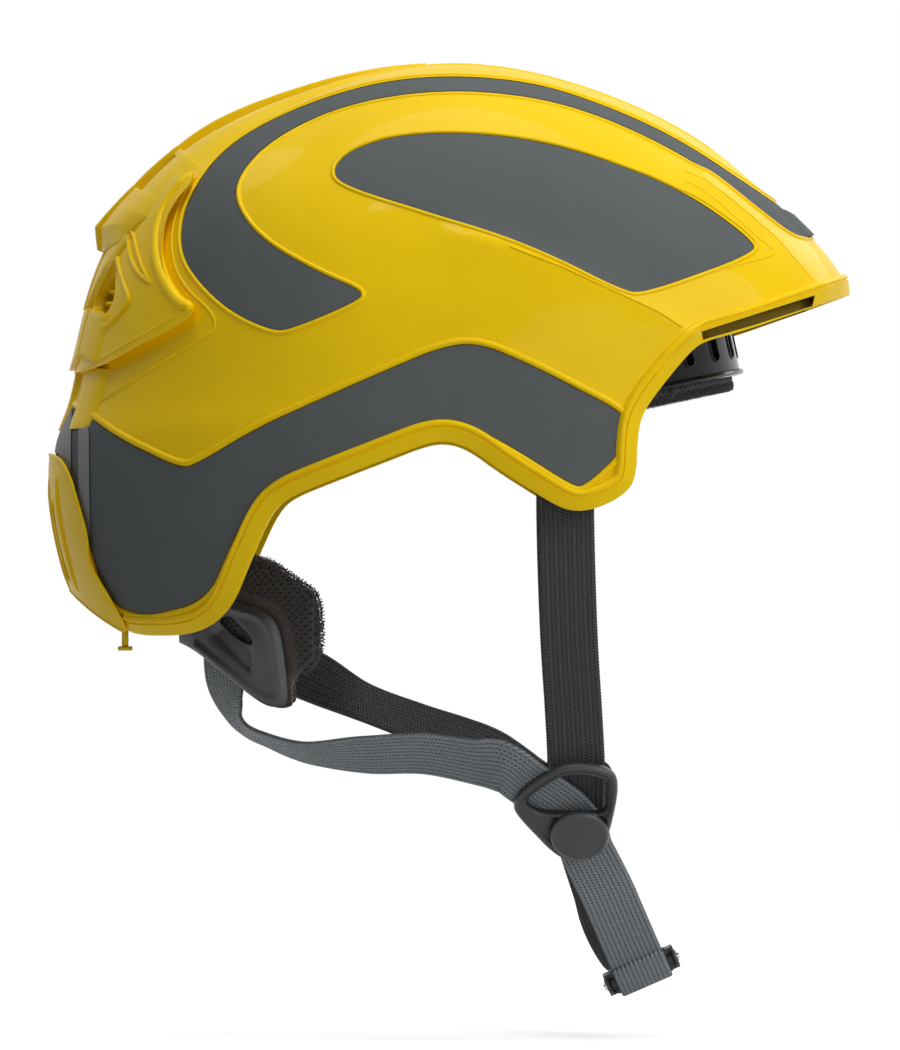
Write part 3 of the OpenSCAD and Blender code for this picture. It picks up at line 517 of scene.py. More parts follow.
class Finish:
    def __init__(self, name, colour, roughness, **sockets):
        self.material = bpy.data.materials.new(name)
        self.material.use_nodes = True
        self.tree = self.material.node_tree
        self.shader = self.tree.nodes["Principled BSDF"]
        self.shader.inputs["Base Color"].default_value = (*colour, 1)
        self.shader.inputs["Roughness"].default_value = roughness
        for socket, value in sockets.items():
            self.shader.inputs[socket.replace("_", " ")].default_value = value
        self.place = self.node("ShaderNodeTexCoord").outputs["Object"]

    def node(self, kind, sockets=None, **settings):
        return addNode(self.tree, kind, sockets, **settings)

    def math(self, operation, a, b=0.0, c=0.0):
        return self.node("ShaderNodeMath", {0: a, 1: b, 2: c}, operation=operation).outputs[0]

    def noise(self, scale, detail=3.0, roughness=0.5):
        return self.node("ShaderNodeTexNoise", {
            "Vector": self.place, "Scale": scale, "Detail": detail,
            "Roughness": roughness}).outputs["Fac"]

    def cells(self, scale, randomness=1.0):
        return self.node("ShaderNodeTexVoronoi", {
            "Vector": self.place, "Scale": scale, "Randomness": randomness}).outputs["Distance"]

    def spread(self, value, low, high, fromLow=0.0, fromHigh=1.0):
        return self.node("ShaderNodeMapRange", {
            "Value": value, "From Min": fromLow, "From Max": fromHigh,
            "To Min": low, "To Max": high}).outputs["Result"]

    def tint(self, factor, first, second):
        mix = self.node("ShaderNodeMix", {"Factor": factor, 6: (*first, 1), 7: (*second, 1)},
                        data_type="RGBA")  # sockets 6 and 7 are the two colours
        self.tree.links.new(mix.outputs[2], self.shader.inputs["Base Color"])

    def rough(self, value):
        self.tree.links.new(value, self.shader.inputs["Roughness"])

    def bump(self, value, distance, strength=1.0):
        bump = self.node("ShaderNodeBump", {
            "Height": value, "Distance": distance, "Strength": strength})
        self.tree.links.new(bump.outputs["Normal"], self.shader.inputs["Normal"])


def mouldedPlastic(name, colour, deeper, roughness, grain, depth, level=0.5, gleam=(1, 1, 1, 1),
                   coat=0.0):
    finish = Finish(name, colour, roughness, Specular_IOR_Level=level, Specular_Tint=gleam,
                    Coat_Weight=coat, Coat_Roughness=0.06)
    clouds = finish.noise(14, 4, 0.6)
    finish.tint(finish.spread(clouds, 0, 1, 0.35, 0.65), colour, deeper)
    fine = finish.noise(grain, 2, 0.55)
    scuffs = finish.noise(90, 6, 0.7)
    worn = finish.spread(scuffs, roughness - 0.05, roughness + 0.09, 0.3, 0.7)
    finish.rough(finish.math("ADD", worn, finish.spread(fine, -0.03, 0.03)))
    finish.bump(fine, depth)
    return finish.material


shellYellow = mouldedPlastic("shellYellow", (0.93, 0.62, 0.001), (0.88, 0.58, 0.0008), 0.5,
                             2600, 0.00003, 0.1, (1.0, 0.75, 0.08, 1), 0.14)
rubberGrey = mouldedPlastic("rubberGrey", (0.115, 0.127, 0.129), (0.107, 0.118, 0.121), 0.9,
                            3400, 0.00008, 0.12)
glossBlack = mouldedPlastic("glossBlack", (0.007, 0.007, 0.008), (0.01, 0.01, 0.011), 0.12,
                            1800, 0.00001, 0.14)
satinBlack = mouldedPlastic("satinBlack", (0.014, 0.014, 0.0155), (0.019, 0.019, 0.021), 0.42,
                            3000, 0.00004)
plateGrey = mouldedPlastic("plateGrey", (0.03, 0.033, 0.038), (0.037, 0.04, 0.046), 0.4,
                           3200, 0.00005)


# A Geometry Nodes tree with its inputs, given as name and kind
def routeTree(name, **inputs):
    tree = bpy.data.node_groups.new(name, "GeometryNodeTree")
    for label, kind in inputs.items():
        tree.interface.new_socket(label, in_out="INPUT", socket_type="NodeSocket" + kind)
    tree.interface.new_socket("Geometry", in_out="OUTPUT", socket_type="NodeSocketGeometry")
    return tree, addNode(tree, "NodeGroupInput").outputs


def smoothed(tree, mesh):
    return addNode(tree, "GeometryNodeSetShadeSmooth", {"Geometry": mesh}).outputs["Geometry"]


def closeTree(tree, shape, finish):
    solid = addNode(tree, "GeometryNodeRealizeInstances", {"Geometry": shape})
    paint = addNode(tree, "GeometryNodeSetMaterial", {
        "Geometry": solid.outputs["Geometry"], "Material": finish})
    addNode(tree, "NodeGroupOutput", {"Geometry": paint.outputs["Geometry"]})
    return tree


# Turns a route into a round bead
def beadTree():
    tree, given = routeTree("beadAlongRoute", Geometry="Geometry", BeadRadius="Float",
                            Sides="Int", Finish="Material")
    ring = addNode(tree, "GeometryNodeCurvePrimitiveCircle", {
        "Radius": given["BeadRadius"], "Resolution": given["Sides"]})
    width = addNode(tree, "GeometryNodeInputRadius")
    sweep = addNode(tree, "GeometryNodeCurveToMesh", {
        "Curve": given["Geometry"], "Profile Curve": ring.outputs["Curve"],
        "Scale": width.outputs["Radius"], "Fill Caps": True})
    return closeTree(tree, smoothed(tree, sweep.outputs["Mesh"]), given["Finish"])


def routeCurve(name, routes):
    curve = bpy.data.curves.new(name, "CURVE")
    curve.dimensions = "3D"
    for points, closed in routes:
        spline = curve.splines.new("POLY")
        spline.points.add(len(points) - 1)
        for at, point in zip(spline.points, points):
            at.co = (*(np.asarray(point[:3]) * mm), 1)
            if len(point) > 3:
                at.radius = point[3]
        spline.use_cyclic_u = closed
    return linked(name, curve)


beads = beadTree()


# Sweeps or fills routes with a tree, its inputs set by their identifiers
def alongRoutes(name, routes, tree, **values):
    piece = routeCurve(name, routes)
    modifier = piece.modifiers.new("alongRoutes", "NODES")
    modifier.node_group = tree
    for item in tree.interface.items_tree:
        if item.in_out == "INPUT" and item.name in values:
            modifier[item.identifier] = values[item.name]
    return bakeModifiers(piece)


def bead(name, routes, radius, material, sides=8):
    return alongRoutes(name, routes, beads, BeadRadius=radius * mm, Sides=sides, Finish=material)


# Routes on the moulded surface, both sides of the shell, for a side view outline
def mouldedRoutes(points, height, step=1.5, closed=True):
    routes = []
    for side in (-1, 1):
        for route, loop in surfaceRoutes(points, side, 0.0, step, closed):
            routes.append((toDome(route, mouldHeight(route) + height), loop))
    return routes


print("shell")
shellDetail = {
    "recessDepth": 1.6, "plateRise": 1.5, "inlayTop": 0.25, "inlayDepth": 1.5, "gap": 0.35,
    "beadRadius": {"crown": 0.95, "leaf": 0.85, "lower": 1.35},
    "beadOut": {"crown": 1.0, "leaf": 0.9, "lower": 1.5},
    "cornerReach": {"crown": 9, "leaf": 9, "lower": 5},
}
rimLine = rounded(outlines["rim"], 4, closed=False)
rimSolid = np.vstack([rimLine, [(-175, -58), (-175, 175), (175, 175), (175, 48.2)]])
borders = {key: rounded(outlines[key], reach)
           for key, reach in shellDetail["cornerReach"].items()}
brimSlot = [(91.7, 24.2), (111.6, 30.7), (133.9, 38.0), (132.9, 33.9), (111.6, 26.9), (92.2, 21.2)]
ridges = [(creases[0]["line"][1:6], 0.55), (creases[1]["line"][1:], 0.45),
          ([(86.1, 79.8), (94.6, 74.2), (104.5, 65.7), (111.6, 59.3), (116.9, 55), (118.2, 53.4),
            (117, 52), (110, 50.2), (101, 47.6)], 0.6)]


# Prism along X from behind the shell, for a rear view outline
def rearPrism(points, high=-45.0):
    prism = sidePrism(points)
    for v in prism.data.vertices:
        y, ends, z = v.co
        v.co = (-175 * mm if ends < 0 else high * mm, y, z)
    return outward(prism)


def carveVents(piece):
    for side in (-1, 1):
        carve(piece, rearPrism(rounded([(side * y, z) for y, z in outlines["vent"]], 3)))


shell = domeSkin("shellBody", mouldHeight, -shellForm["wall"])
carve(shell, sidePrism(rimSolid), "INTERSECT")


# The crown inlay swells into a plate at the front
def inlayHeight(at):
    plate = (eased((70.5 - at[..., 2]) / 1.8) * eased((at[..., 2] - 55) / 5)
             * eased((at[..., 0] - 90) / 10) * eased((30 - np.abs(at[..., 1])) / 6))
    return mouldHeight(at) + shellDetail["inlayTop"] + shellDetail["plateRise"] * plate


inlayBlank = domeSkin("inlayBlank", inlayHeight, -shellDetail["inlayDepth"])


def inlayPiece(name, border, low, high):
    patch = linked(name, inlayBlank.data.copy())
    carve(patch, sidePrism(border, low, high), "INTERSECT")
    repaint(patch, rubberGrey)
    return finishPiece(patch, "helmet", "inlay_grey", name, sharp=28)


for key, border in borders.items():
    recess = domeSkin("skin", lambda p: mouldHeight(p) + 4, -shellDetail["recessDepth"])
    carve(recess, sidePrism(shifted(border, shellDetail["gap"])), "INTERSECT")
    carve(shell, recess)
inlayPiece("crown_inlay", borders["crown"], -150, 150)
for side, low, high in (("right", -150, -0.3), ("left", 0.3, 150)):
    inlayPiece("side_inlay_" + side, borders["leaf"], low, high)
    inlayPiece("lower_inlay_" + side, borders["lower"], low, high)
bpy.data.objects.remove(inlayBlank)


# The part of a plain skin that lies over a side view outline
def skinPatch(name, outer, inner, line):
    return carve(domeSkin(name, outer, inner, fine=False), sidePrism(line), "INTERSECT")


carve(shell, skinPatch("slotRecess", 4, -3.9, brimSlot))
# The slot's floor is a dark olive sheet under the recess: painted shade for the inside of the
# slot.
slotPaintedShade = mouldedPlastic("slotPaintedShade", (0.2, 0.15, 0.02), (0.17, 0.13, 0.018), 0.7, 2600,
                           0.00003, 0.1)
slotFloor = repaint(skinPatch("slotFloor", -3.6, -4.0, shifted(brimSlot, 0.4)), slotPaintedShade)
finishPiece(slotFloor, "helmet", "shell_yellow", "outer_shell")
carveVents(shell)
repaint(shell, shellYellow)
finishPiece(shell, "helmet", "shell_yellow", "outer_shell", sharp=28)
print("shell faces", len(shell.data.polygons))
borderBeads = []
for key, radius in shellDetail["beadRadius"].items():
    line = shifted(borders[key], shellDetail["beadOut"][key])
    routes = mouldedRoutes(line, -0.25 * radius)
    borderBeads.append(bead("borderBead", routes, radius, shellYellow))
for line, radius in ridges:
    routes = mouldedRoutes(rounded(line, 1.5, closed=False), -0.4 * radius, closed=False)
    borderBeads.append(bead("ridgeBead", routes, radius, shellYellow))
finishPiece(joined("inlayBorders", borderBeads), "helmet", "shell_yellow", "outer_shell")


# A band that follows a route on the shell; profile rows are (inward, height)
def surfaceBand(name, route, profile, inward):
    before, after = np.roll(route, 1, 0), np.roll(route, -1, 0)
    before[0], after[-1] = route[0], route[-1]
    across = np.cross(domeNormal(route), after - before)
    across *= inward / np.linalg.norm(across, axis=1, keepdims=True)
    rows = []
    for inside, height in profile:
        at = toDome(route + across * inside)
        rows.append(toDome(at, mouldHeight(at) + height))
    return sweptPiece(name, np.stack(rows, 1), shellYellow)


rimProfile = [(-0.3, -1.6), (-0.35, 0.0), (0.1, 0.3), (1.0, 0.5), (4.9, 1.75), (5.2, 1.3),
              (5.7, 1.3), (6.0, 2.0), (6.5, 2.2), (7.1, 2.05), (7.6, 1.3), (8.0, -0.8)]
flanges = []
for side in (-1, 1):
    for route, loop in surfaceRoutes(rimLine, side, 0.0, 1.5, closed=False):
        route = route[route[:, 0] > -117]
        flanges.append(surfaceBand("flange", route, rimProfile, side))
flange = joined("rimFlange", flanges)
carve(flange, skinPatch("slotRecess", 6, -3.5, brimSlot))
repaint(flange, shellYellow)
finishPiece(flange, "helmet", "shell_yellow", "outer_shell", sharp=40)


print("rear housing, spine and cover")
housing = {"rise": 3.5, "ribRadius": 2.5, "ribHeight": 2.3, "frameRadius": 0.95}
rib = [(-93, 81.5), (-100, 74), (-104.5, 66), (-106, 55.5), (-104.8, 47), (-101, 39),
       (-96.5, 33.5), (-92.8, 31.6)]
housingEdge = [(-160, 80), (-119, 77), (-107, 84), *rib, (-97, 27.8), (-129, 11.5), (-160, 6)]
plate = domeSkin("housingPlate", lambda p: mouldHeight(p) + housing["rise"], -2.2)
carve(plate, sidePrism(rounded(housingEdge, 2.5)), "INTERSECT")
carveVents(plate)
repaint(plate, shellYellow)
finishPiece(plate, "helmet", "shell_yellow", "outer_shell", sharp=28)


# Adds a radius to each point of a route, small at its ends
def tapered(route, radius, ends=6):
    k = np.arange(len(route))
    scale = np.minimum(1, (np.minimum(k, k[::-1]) + 0.6) / ends)**0.5
    return np.hstack([route, (scale * radius)[:, None]])


def softBead(name, routes, sides=10):
    return bead(name, routes, 1, shellYellow, sides)


def sideRoutes(line, height, radius):
    routes = mouldedRoutes(rounded(line, 6, closed=False), height, 1.2, closed=False)
    return [(tapered(route, radius, 5), loop) for route, loop in routes]


ribParts = [softBead("rib", sideRoutes(rib[:-1] + [(-92.5, 32.2), (-95.5, 29.5)],
                                       housing["ribHeight"], housing["ribRadius"]), sides=14)]
chamferLine = rounded([(-94.5, 30.5), (-128.5, 12.2), (-133, 9.8)], 2, closed=False)
for side in (-1, 1):
    for route, loop in surfaceRoutes(chamferLine, side, 0.0, 1.5, closed=False):
        ribParts.append(surfaceBand("chamfer", route, [
            (-0.6, 3.3), (0, 3.75), (0.6, 3.7), (1.6, 3.1), (4.6, 0.5), (5.6, 0.02), (5.6, -0.8),
            (-0.6, -0.8)], side))
thinLines = [
    [(-86.2, 24.8), (-108, 12), (-129.3, -1.2), (-131, -3.4)],
    [(-91, 84), (-97.5, 76.5), (-101.4, 66), (-102.4, 56), (-100.6, 47), (-96, 39.5), (-88, 32.5),
     (-85.6, 28.2), (-86.2, 24.8)],
]
for line, radius in zip(thinLines, (0.85, 0.7)):
    ribParts.append(softBead("ridge", sideRoutes(line, -0.15, radius)))
finishPiece(joined("housingRib", ribParts), "helmet", "shell_yellow", "outer_shell", sharp=50)


def rearRoute(line, side, height, closed=True):
    flat = rounded([(side * y, z) for y, z in line], 2.5, closed)
    return resampled(fromRear(flat[:, 0], flat[:, 1], height), 1.0, closed)


ventFrame = [(13, 33), (35.4, 52.5), (38.5, 51), (61, 36.8), (58.5, 33.5), (50, 26), (42, 28.5)]
slitEdges = [([(31, 62.5), (39, 58.5), (47.4, 53), (59, 46.5), (68.5, 42.2)], 1.0),
             ([(31, 62.5), (40.5, 60.8), (50, 55.5), (60.5, 48.2), (68.5, 42.2)], 0.8)]
slatWide, slatThick = np.array([1.6, 0, -1.2]), np.array([0.35, 0, 0.45])
louvres = []
for side in (-1, 1):
    louvres.append(bead("frame", [(rearRoute(ventFrame, side, 3.7), True)],
                        housing["frameRadius"], shellYellow))
    louvres.append(softBead("slitEdge", [
        (tapered(rearRoute(line, side, 3.6, closed=False), radius), False)
        for line, radius in slitEdges]))
    for k in range(5):  # slanted slats across the outer half of the vent
        ends = fromRear(np.array([side * 27, side * 47]), 30 + 4.4 * k, -1.6)
        corners = [ends[0] - slatWide, ends[0] + slatWide, ends[1] + slatWide, ends[1] - slatWide]
        points = [c + slatThick for c in corners] + [c - slatThick for c in corners]
        louvres.append(outward(meshPiece("slat", points, [
            (0, 1, 2, 3), (7, 6, 5, 4), (0, 4, 5, 1), (1, 5, 6, 2), (2, 6, 7, 3), (3, 7, 4, 0)],
            shellYellow, smooth=False)))
finishPiece(joined("ventFrames", louvres), "helmet", "shell_yellow", "outer_shell", sharp=40)


# The spine is lofted from half sections: turn angle, then half width and height pairs
def spinePart(name, sections, step, sweep=None):
    turns = [s[0] for s in sections]
    shapes = np.array([s[1] + [(s[1][-1][0] + 0.2, -0.5)] for s in sections], float)
    wanted = np.unique(np.r_[np.arange(turns[0], turns[-1], step), turns])
    rows = np.stack([np.stack([np.interp(wanted, turns, shapes[:, k, c])
                               for k in range(shapes.shape[1])], 1) for c in (0, 1)], -1)
    fine = []
    for k in range(rows.shape[1] - 1):
        parts = 3 if k in (1, 4, 5, 6) else 1  # more points where the section is steep or wide
        for t in np.arange(parts) / parts:
            fine.append(rows[:, k] * (1 - t) + rows[:, k + 1] * t)
    fine.append(rows[:, -1])
    fine = np.stack(fine, 1)
    half = np.concatenate([fine[:, ::-1] * np.array([-1, 1]), fine[:, 1:]], 1)
    y, height = half[..., 0], half[..., 1]
    angle = wanted[:, None] + 0 * y
    if sweep:
        angle = angle - sweep(angle, np.abs(y))
    top = fromTurn(angle, y, height)
    base = fromTurn(angle, y, np.minimum(height - 1.0, -0.9))
    rowCount, colCount = y.shape
    faces = gridFaces(rowCount, colCount)
    under = [tuple(rowCount * colCount + i for i in face[::-1]) for face in faces]
    rim = ([(0, j) for j in range(colCount)] + [(i, colCount - 1) for i in range(1, rowCount)]
           + [(rowCount - 1, j) for j in range(colCount - 2, -1, -1)]
           + [(i, 0) for i in range(rowCount - 2, 0, -1)])
    rim = [i * colCount + j for i, j in rim]
    lower = rowCount * colCount
    walls = [(a, b, lower + b, lower + a) for a, b in zip(rim, rim[1:] + rim[:1])]
    points = np.concatenate([top.reshape(-1, 3), base.reshape(-1, 3)])
    piece = outward(meshPiece(name, points, faces + under + walls, shellYellow))
    soften = piece.modifiers.new("soften", "BEVEL")
    soften.width, soften.segments, soften.angle_limit = 0.45 * mm, 2, math.radians(38)
    return bakeModifiers(piece)


# Half sections over the middle ridge: turn, its heights, then (half width, height) pairs
def ridgeRun(rows):
    return [(turn, list(zip((0, 2.4, 3.2, 4.6, 5.4), heights)) + rest)
            for turn, heights, rest in rows]


frontRun = ridgeRun([
    (94, (1.2, 1.0, 0.2, 0.2, 0.2), [(5.8, 0.2), (6.4, 0.5), (7.4, 0.5), (8.6, 0.0)]),
    (105, (2.6, 2.3, 0.4, 0.4, 0.4), [(8, 0.3), (9, 1.1), (11, 1.1), (13, 0.1)]),
    (118, (4.4, 4.1, 0.8, 0.8, 0.6), [(13, 0.4), (14.4, 1.9), (19, 1.7), (24, 0.1)]),
    (118.4, (4.5, 4.2, 0.8, 0.8, 1.9), [(13, 1.5), (14.4, 2.1), (19, 1.8), (24, 0.1)]),
    (121, (4.8, 4.5, 1.0, 1.0, 1.7), [(14, 1.3), (15.6, 2.3), (21, 1.9), (27, 0.1)]),
    (130, (6.2, 5.9, 1.5, 1.5, 1.0), [(19, 0.6), (20.5, 3.2), (29, 2.6), (38, 0.1)]),
    (138.2, (6.9, 6.6, 2.0, 2.0, 1.2), [(19, 0.9), (20.5, 4.4), (34, 3.6), (48, 0.1)]),
])
hood = ridgeRun([
    (137.0, (7.0, 6.7, 3.5, 3.5, 5.4), [(19, 5.0), (20.5, 4.7), (34, 3.7), (48, 0.1)]),
    (138.3, (7.2, 6.9, 3.5, 3.5, 5.4), [(19, 5.0), (20.5, 4.7), (34.2, 3.8), (48, 0.3)]),
    (138.7, (7.2, 6.9, 2.0, 1.4, 1.0), [(18, 1.2), (20.5, 4.8), (34.2, 3.8), (48, 0.4)]),
    (145.6, (9.0, 8.7, 3.4, 2.4, 2.0), [(18, 2.2), (20.5, 6.0), (36, 5.0), (49, 1.9)]),
    (146.0, (9.2, 8.9, 5.6, 5.6, 8.0), [(18, 6.8), (20.5, 6.4), (36, 5.2), (49, 2.1)]),
    (150.5, (11.4, 11.1, 6.8, 6.8, 9.8), [(18, 8.4), (20.5, 8.1), (34, 6.4), (46, 3.5)]),
    (154.0, (13.2, 12.8, 7.4, 7.4, 11.0), [(18, 9.2), (20.5, 8.8), (33, 6.6), (39, 4.6)]),
    (157.0, (8.6, 8.2, 5.4, 5.4, 7.0), [(18, 6.4), (20.5, 6.2), (29, 5.9), (33, 5.4)]),
])


def lowerSection(inner):
    return [(0, 6.2), (4.5, 6.1), (7, 5.4), (8.4, 2.4), (12.6, 2.4), (14, 5.4),
            (max(inner - 2, 14.4), 5.2), (max(inner, 15), 4.6), (max(inner, 15) + 1, 3.4)]


lowerRun = [(153.0, lowerSection(40)), (157.6, lowerSection(35)), (159.2, lowerSection(29)),
            (165.6, lowerSection(14)), (166.2, lowerSection(13.6))]
barSection = [(0, 5.7), (6, 5.6), (21, 5.0), (23.5, 3.3), (26.5, 3.3), (28, 5.4), (34, 5.2),
              (47, 4.9), (49.5, 3.6)]
barRun = [(turn, barSection) for turn in (166.0, 171.5, 175.6)]
tailRun = [(175.0, [(0, 3.4), (6, 3.3), (9, 2.9), (10.5, 0.5), (27, 0.4), (29, 2.4), (35, 2.3),
                    (49, 2.0), (51, 0.3)]),
           (184.5, [(0, 1.6), (6, 1.5), (9, 1.2), (10.5, 0.2), (27, 0.2), (36, 1.0), (40, 1.0),
                    (50.5, 0.9), (52, 0.1)])]
spine = [
    spinePart("frontRun", frontRun, 1.2),
    spinePart("hood", hood, 0.8, lambda a, y: 2.6 * (y / 35)**1.3 * eased((a - 147) / 7)),
    spinePart("lowerRun", lowerRun, 1.0),
    spinePart("barRun", barRun, 1.0, lambda a, y: (
        0.55 * np.minimum(y, 30) / 6 - 0.35 * np.maximum(y - 30, 0) / 5)
        * eased((a - 170) / 5)),
    spinePart("tailRun", tailRun, 1.2),
]
finishPiece(joined("rearSpine", spine), "helmet", "shell_yellow", "rear_spine", sharp=35)


print("reflective strips and rear cover")
stripGrey = Finish("stripGrey", (0.24, 0.245, 0.25), 0.65, Specular_IOR_Level=0.15)
hexes = stripGrey.cells(1500, randomness=0.12)
stripGrey.tint(stripGrey.spread(hexes, 0, 1, 0.2, 0.6), (0.27, 0.275, 0.285), (0.2, 0.205, 0.21))
stripGrey.bump(hexes, 0.00008)
strips = {"top": 0.75, "under": -0.6, "shapes": [
    [(-152, -2.6), (-139.6, -2.6), (-139.4, -29), (-152, -29)],
    [(-136.6, -6.8), (-132.6, -10.4), (-132.2, -50), (-133.8, -53), (-136.6, -36)]]}
stripParts = []
for shape in strips["shapes"]:
    for low, high in ((-150, -0.6), (0.6, 150)):
        strip = domeSkin("strip", strips["top"], strips["under"])
        carve(strip, sidePrism(rounded(shape, 1.2), low, high), "INTERSECT")
        carve(strip, sidePrism(shifted(outlines["cover"], 0.4)))
        stripParts.append(repaint(strip, stripGrey.material))
finishPiece(joined("reflectiveStrips", stripParts), "helmet", "strip_grey", "reflective_strips",
            sharp=28)

cover = {"top": 2.7, "slots": 5, "slotWidth": 4.5, "slotHeight": 30, "slotMiddle": -52}
coverBody = domeSkin("coverBody", cover["top"], -0.4)
carve(coverBody, sidePrism(rounded(outlines["cover"], 3)), "INTERSECT")
pitch = 2.4 * cover["slotWidth"]
coverParts = []
for i in range(cover["slots"]):
    y = (i - (cover["slots"] - 1) / 2) * pitch
    wide, tall = cover["slotWidth"] / 2, cover["slotHeight"] / 2
    low, high = cover["slotMiddle"] - tall, cover["slotMiddle"] + tall
    shape = rounded([(y - wide, low), (y + wide, low), (y + wide, high), (y - wide, high)], 2.2)
    carve(coverBody, rearPrism(shape, high=-110))
    edge = fromRear(shape[:, 0], shape[:, 1], cover["top"] - 0.1)
    coverParts.append(bead("slotEdge", [(resampled(edge, 1, True), True)], 0.45, shellYellow))
repaint(coverBody, shellYellow)
coverParts.append(coverBody)
for side in (-1, 1):
    edges = surfaceRoutes(rounded(outlines["cover"], 3), side, cover["top"] - 0.15, 1.2)
    coverParts.append(bead("coverEdge", edges, 0.55, shellYellow))
    for half, radius in ((14.5, 0.7), (33, 0.9)):
        line = [(side * half, -29), (side * half, -52), (side * (half - 2), -71)]
        flat = resampled(rounded(line, 4, closed=False), 1.2)
        coverParts.append(softBead("coverRib", [
            (tapered(fromRear(flat[:, 0], flat[:, 1], cover["top"]), radius), False)]))


def roundedBlock(low, high, width):
    block = blockBetween(low, high)
    edge = block.modifiers.new("edges", "BEVEL")
    edge.width, edge.segments = width * mm, 3
    bakeModifiers(block)
    block.data.shade_smooth()
    return repaint(block, shellYellow)


coverParts += [roundedBlock((-121.5, -4, -91.5), (-119.1, 4, -82), 0.7),  # tab under the cover
               roundedBlock((-123, -5, -92.8), (-117.6, 5, -91.2), 0.6)]
finishPiece(joined("rearCover", coverParts), "helmet", "shell_yellow", "rear_cover", sharp=30)


print("liner, cage, headband and pads")
liner = {"outer": 4.2, "inner": 20.2, "anchor": (42.5, 92.0, -10), "channelAngles": (60, 90, 120),
         "channelY": (-26, 26)}
foamWhite = Finish("foamWhite", (0.72, 0.72, 0.69), 0.85, Specular_IOR_Level=0.25)
foamCells = foamWhite.cells(420)
foamWhite.tint(foamWhite.spread(foamCells, 0, 1, 0.0, 0.5), (0.64, 0.64, 0.61), (0.76, 0.76, 0.73))
foamWhite.bump(foamCells, 0.0003, 0.8)

linerBody = domeSkin("liner", -liner["outer"], -liner["inner"], fine=False)
carve(linerBody, sidePrism(rounded(outlines["liner"], 3)), "INTERSECT")
carveVents(linerBody)
for side in (-1, 1):
    x, y, z = liner["anchor"]
    ends = sorted((side * (y - 3), side * (y + 27)))
    carve(linerBody, blockBetween((x - 13.5, ends[0], z - 60), (x + 13.5, ends[1], z + 10.5)))
for angle in liner["channelAngles"]:  # air channels pressed into the inside
    for y in liner["channelY"]:
        turn = math.radians(angle)
        centre = np.array([math.cos(turn), 0, math.sin(turn)]) * (float(domeRadius(angle)) - 24)
        middle, half = centre + np.array([0, y, 0]), np.array([8.8, 4, 8.8])
        carve(linerBody, blockBetween(middle - half, middle + half))
repaint(linerBody, foamWhite.material)
finishPiece(linerBody, "helmet", "foam_white", "impact_liner", sharp=30)

band = {"centre": 6, "halfLength": 104, "halfWidth": 84, "power": 0.92, "thick": 2.4, "tilt": 12,
        "base": -13.2, "cageHeight": 27, "sideHeight": 16, "cageEnd": 62, "slotPitch": 12,
        "slotHalf": 2.6, "slotMiddle": 14.5, "slotReach": 5.5}
bandTurn = math.radians(band["tilt"])


# Headband shape seen square to its tilted plane
def bandPoint(angle, grow, up=0.0):
    turn = np.radians(angle)
    ahead, sideways = (np.sign(v) * np.abs(v)**band["power"] for v in (np.cos(turn), np.sin(turn)))
    x = band["centre"] + (band["halfLength"] + grow) * ahead
    y = (band["halfWidth"] + grow) * sideways
    return np.stack([x * math.cos(bandTurn) - up * math.sin(bandTurn), y + 0 * x,
                     band["base"] + x * math.sin(bandTurn) + up * math.cos(bandTurn)], -1)


# A wall along the band from a closed profile of (grow, up) places
def bandWall(name, start, end, profile, material, step=1.0):
    turns = np.linspace(start, end, max(3, int(abs(end - start) / step) + 1))
    grid = np.stack([bandPoint(turns, grow, up) for grow, up in profile], 1)
    return sweptPiece(name, grid, material)


def roundedBox(g0, g1, u0, u1, r):
    shape = []
    for gx, ux, start in ((g1, u0, -90), (g1, u1, 0), (g0, u1, 90), (g0, u0, 180)):
        for k in range(5):
            turn = math.radians(start + 90 * k / 4)
            shape.append((gx + math.cos(turn) * r - (r if gx == g1 else -r),
                          ux + math.sin(turn) * r - (r if ux == u1 else -r)))
    return shape


# A slot of the cage as (across, up) places
def cageSlot(half, turns, narrow=1.0):
    rise = [band["slotReach"] if math.sin(t) > 0 else -band["slotReach"] for t in turns]
    return [(half * math.cos(t) / narrow, half * math.sin(t) + (band["slotMiddle"] + r))
            for t, r in zip(turns, rise)]


cage = bandWall("cage", -band["cageEnd"], band["cageEnd"],
                roundedBox(-band["thick"], 0, 0, band["cageHeight"], 0.9), glossBlack)
slotTurns = range(-4 * band["slotPitch"], 4 * band["slotPitch"] + 1, band["slotPitch"])
for a in slotTurns:
    slot = cageSlot(band["slotHalf"], [2 * math.pi * k / 24 for k in range(24)])
    points = []
    at, ahead = bandPoint(a - 0.4, 0), bandPoint(a + 0.4, 0)
    sideways = (ahead - at) / np.linalg.norm(ahead - at)
    upwards = np.array([-math.sin(bandTurn), 0, math.cos(bandTurn)])
    out = np.cross(sideways, upwards)
    centre = bandPoint(a, 0)
    for depth in (-9, 9):
        points += [centre + sideways * s + upwards * u + out * depth for s, u in slot]
    carve(cage, outward(meshPiece("slot", points, prismFaces(len(slot)))))
repaint(cage, glossBlack)
cageParts = [cage]
for up, radius in ((0.9, 1.15), (26.2, 0.9)):
    line = bandPoint(np.linspace(-band["cageEnd"], band["cageEnd"], 120), 0.2, up)
    cageParts.append(bead("cageLip", [(line, False)], radius, glossBlack))
for a in slotTurns:
    slot = cageSlot(band["slotHalf"] + 0.3, np.linspace(0, 2 * math.pi, 24, endpoint=False), 1.45)
    line = np.array([bandPoint(a + s, 0.1, u) for s, u in slot])
    cageParts.append(bead("slotLip", [(line, True)], 0.4, glossBlack, sides=6))
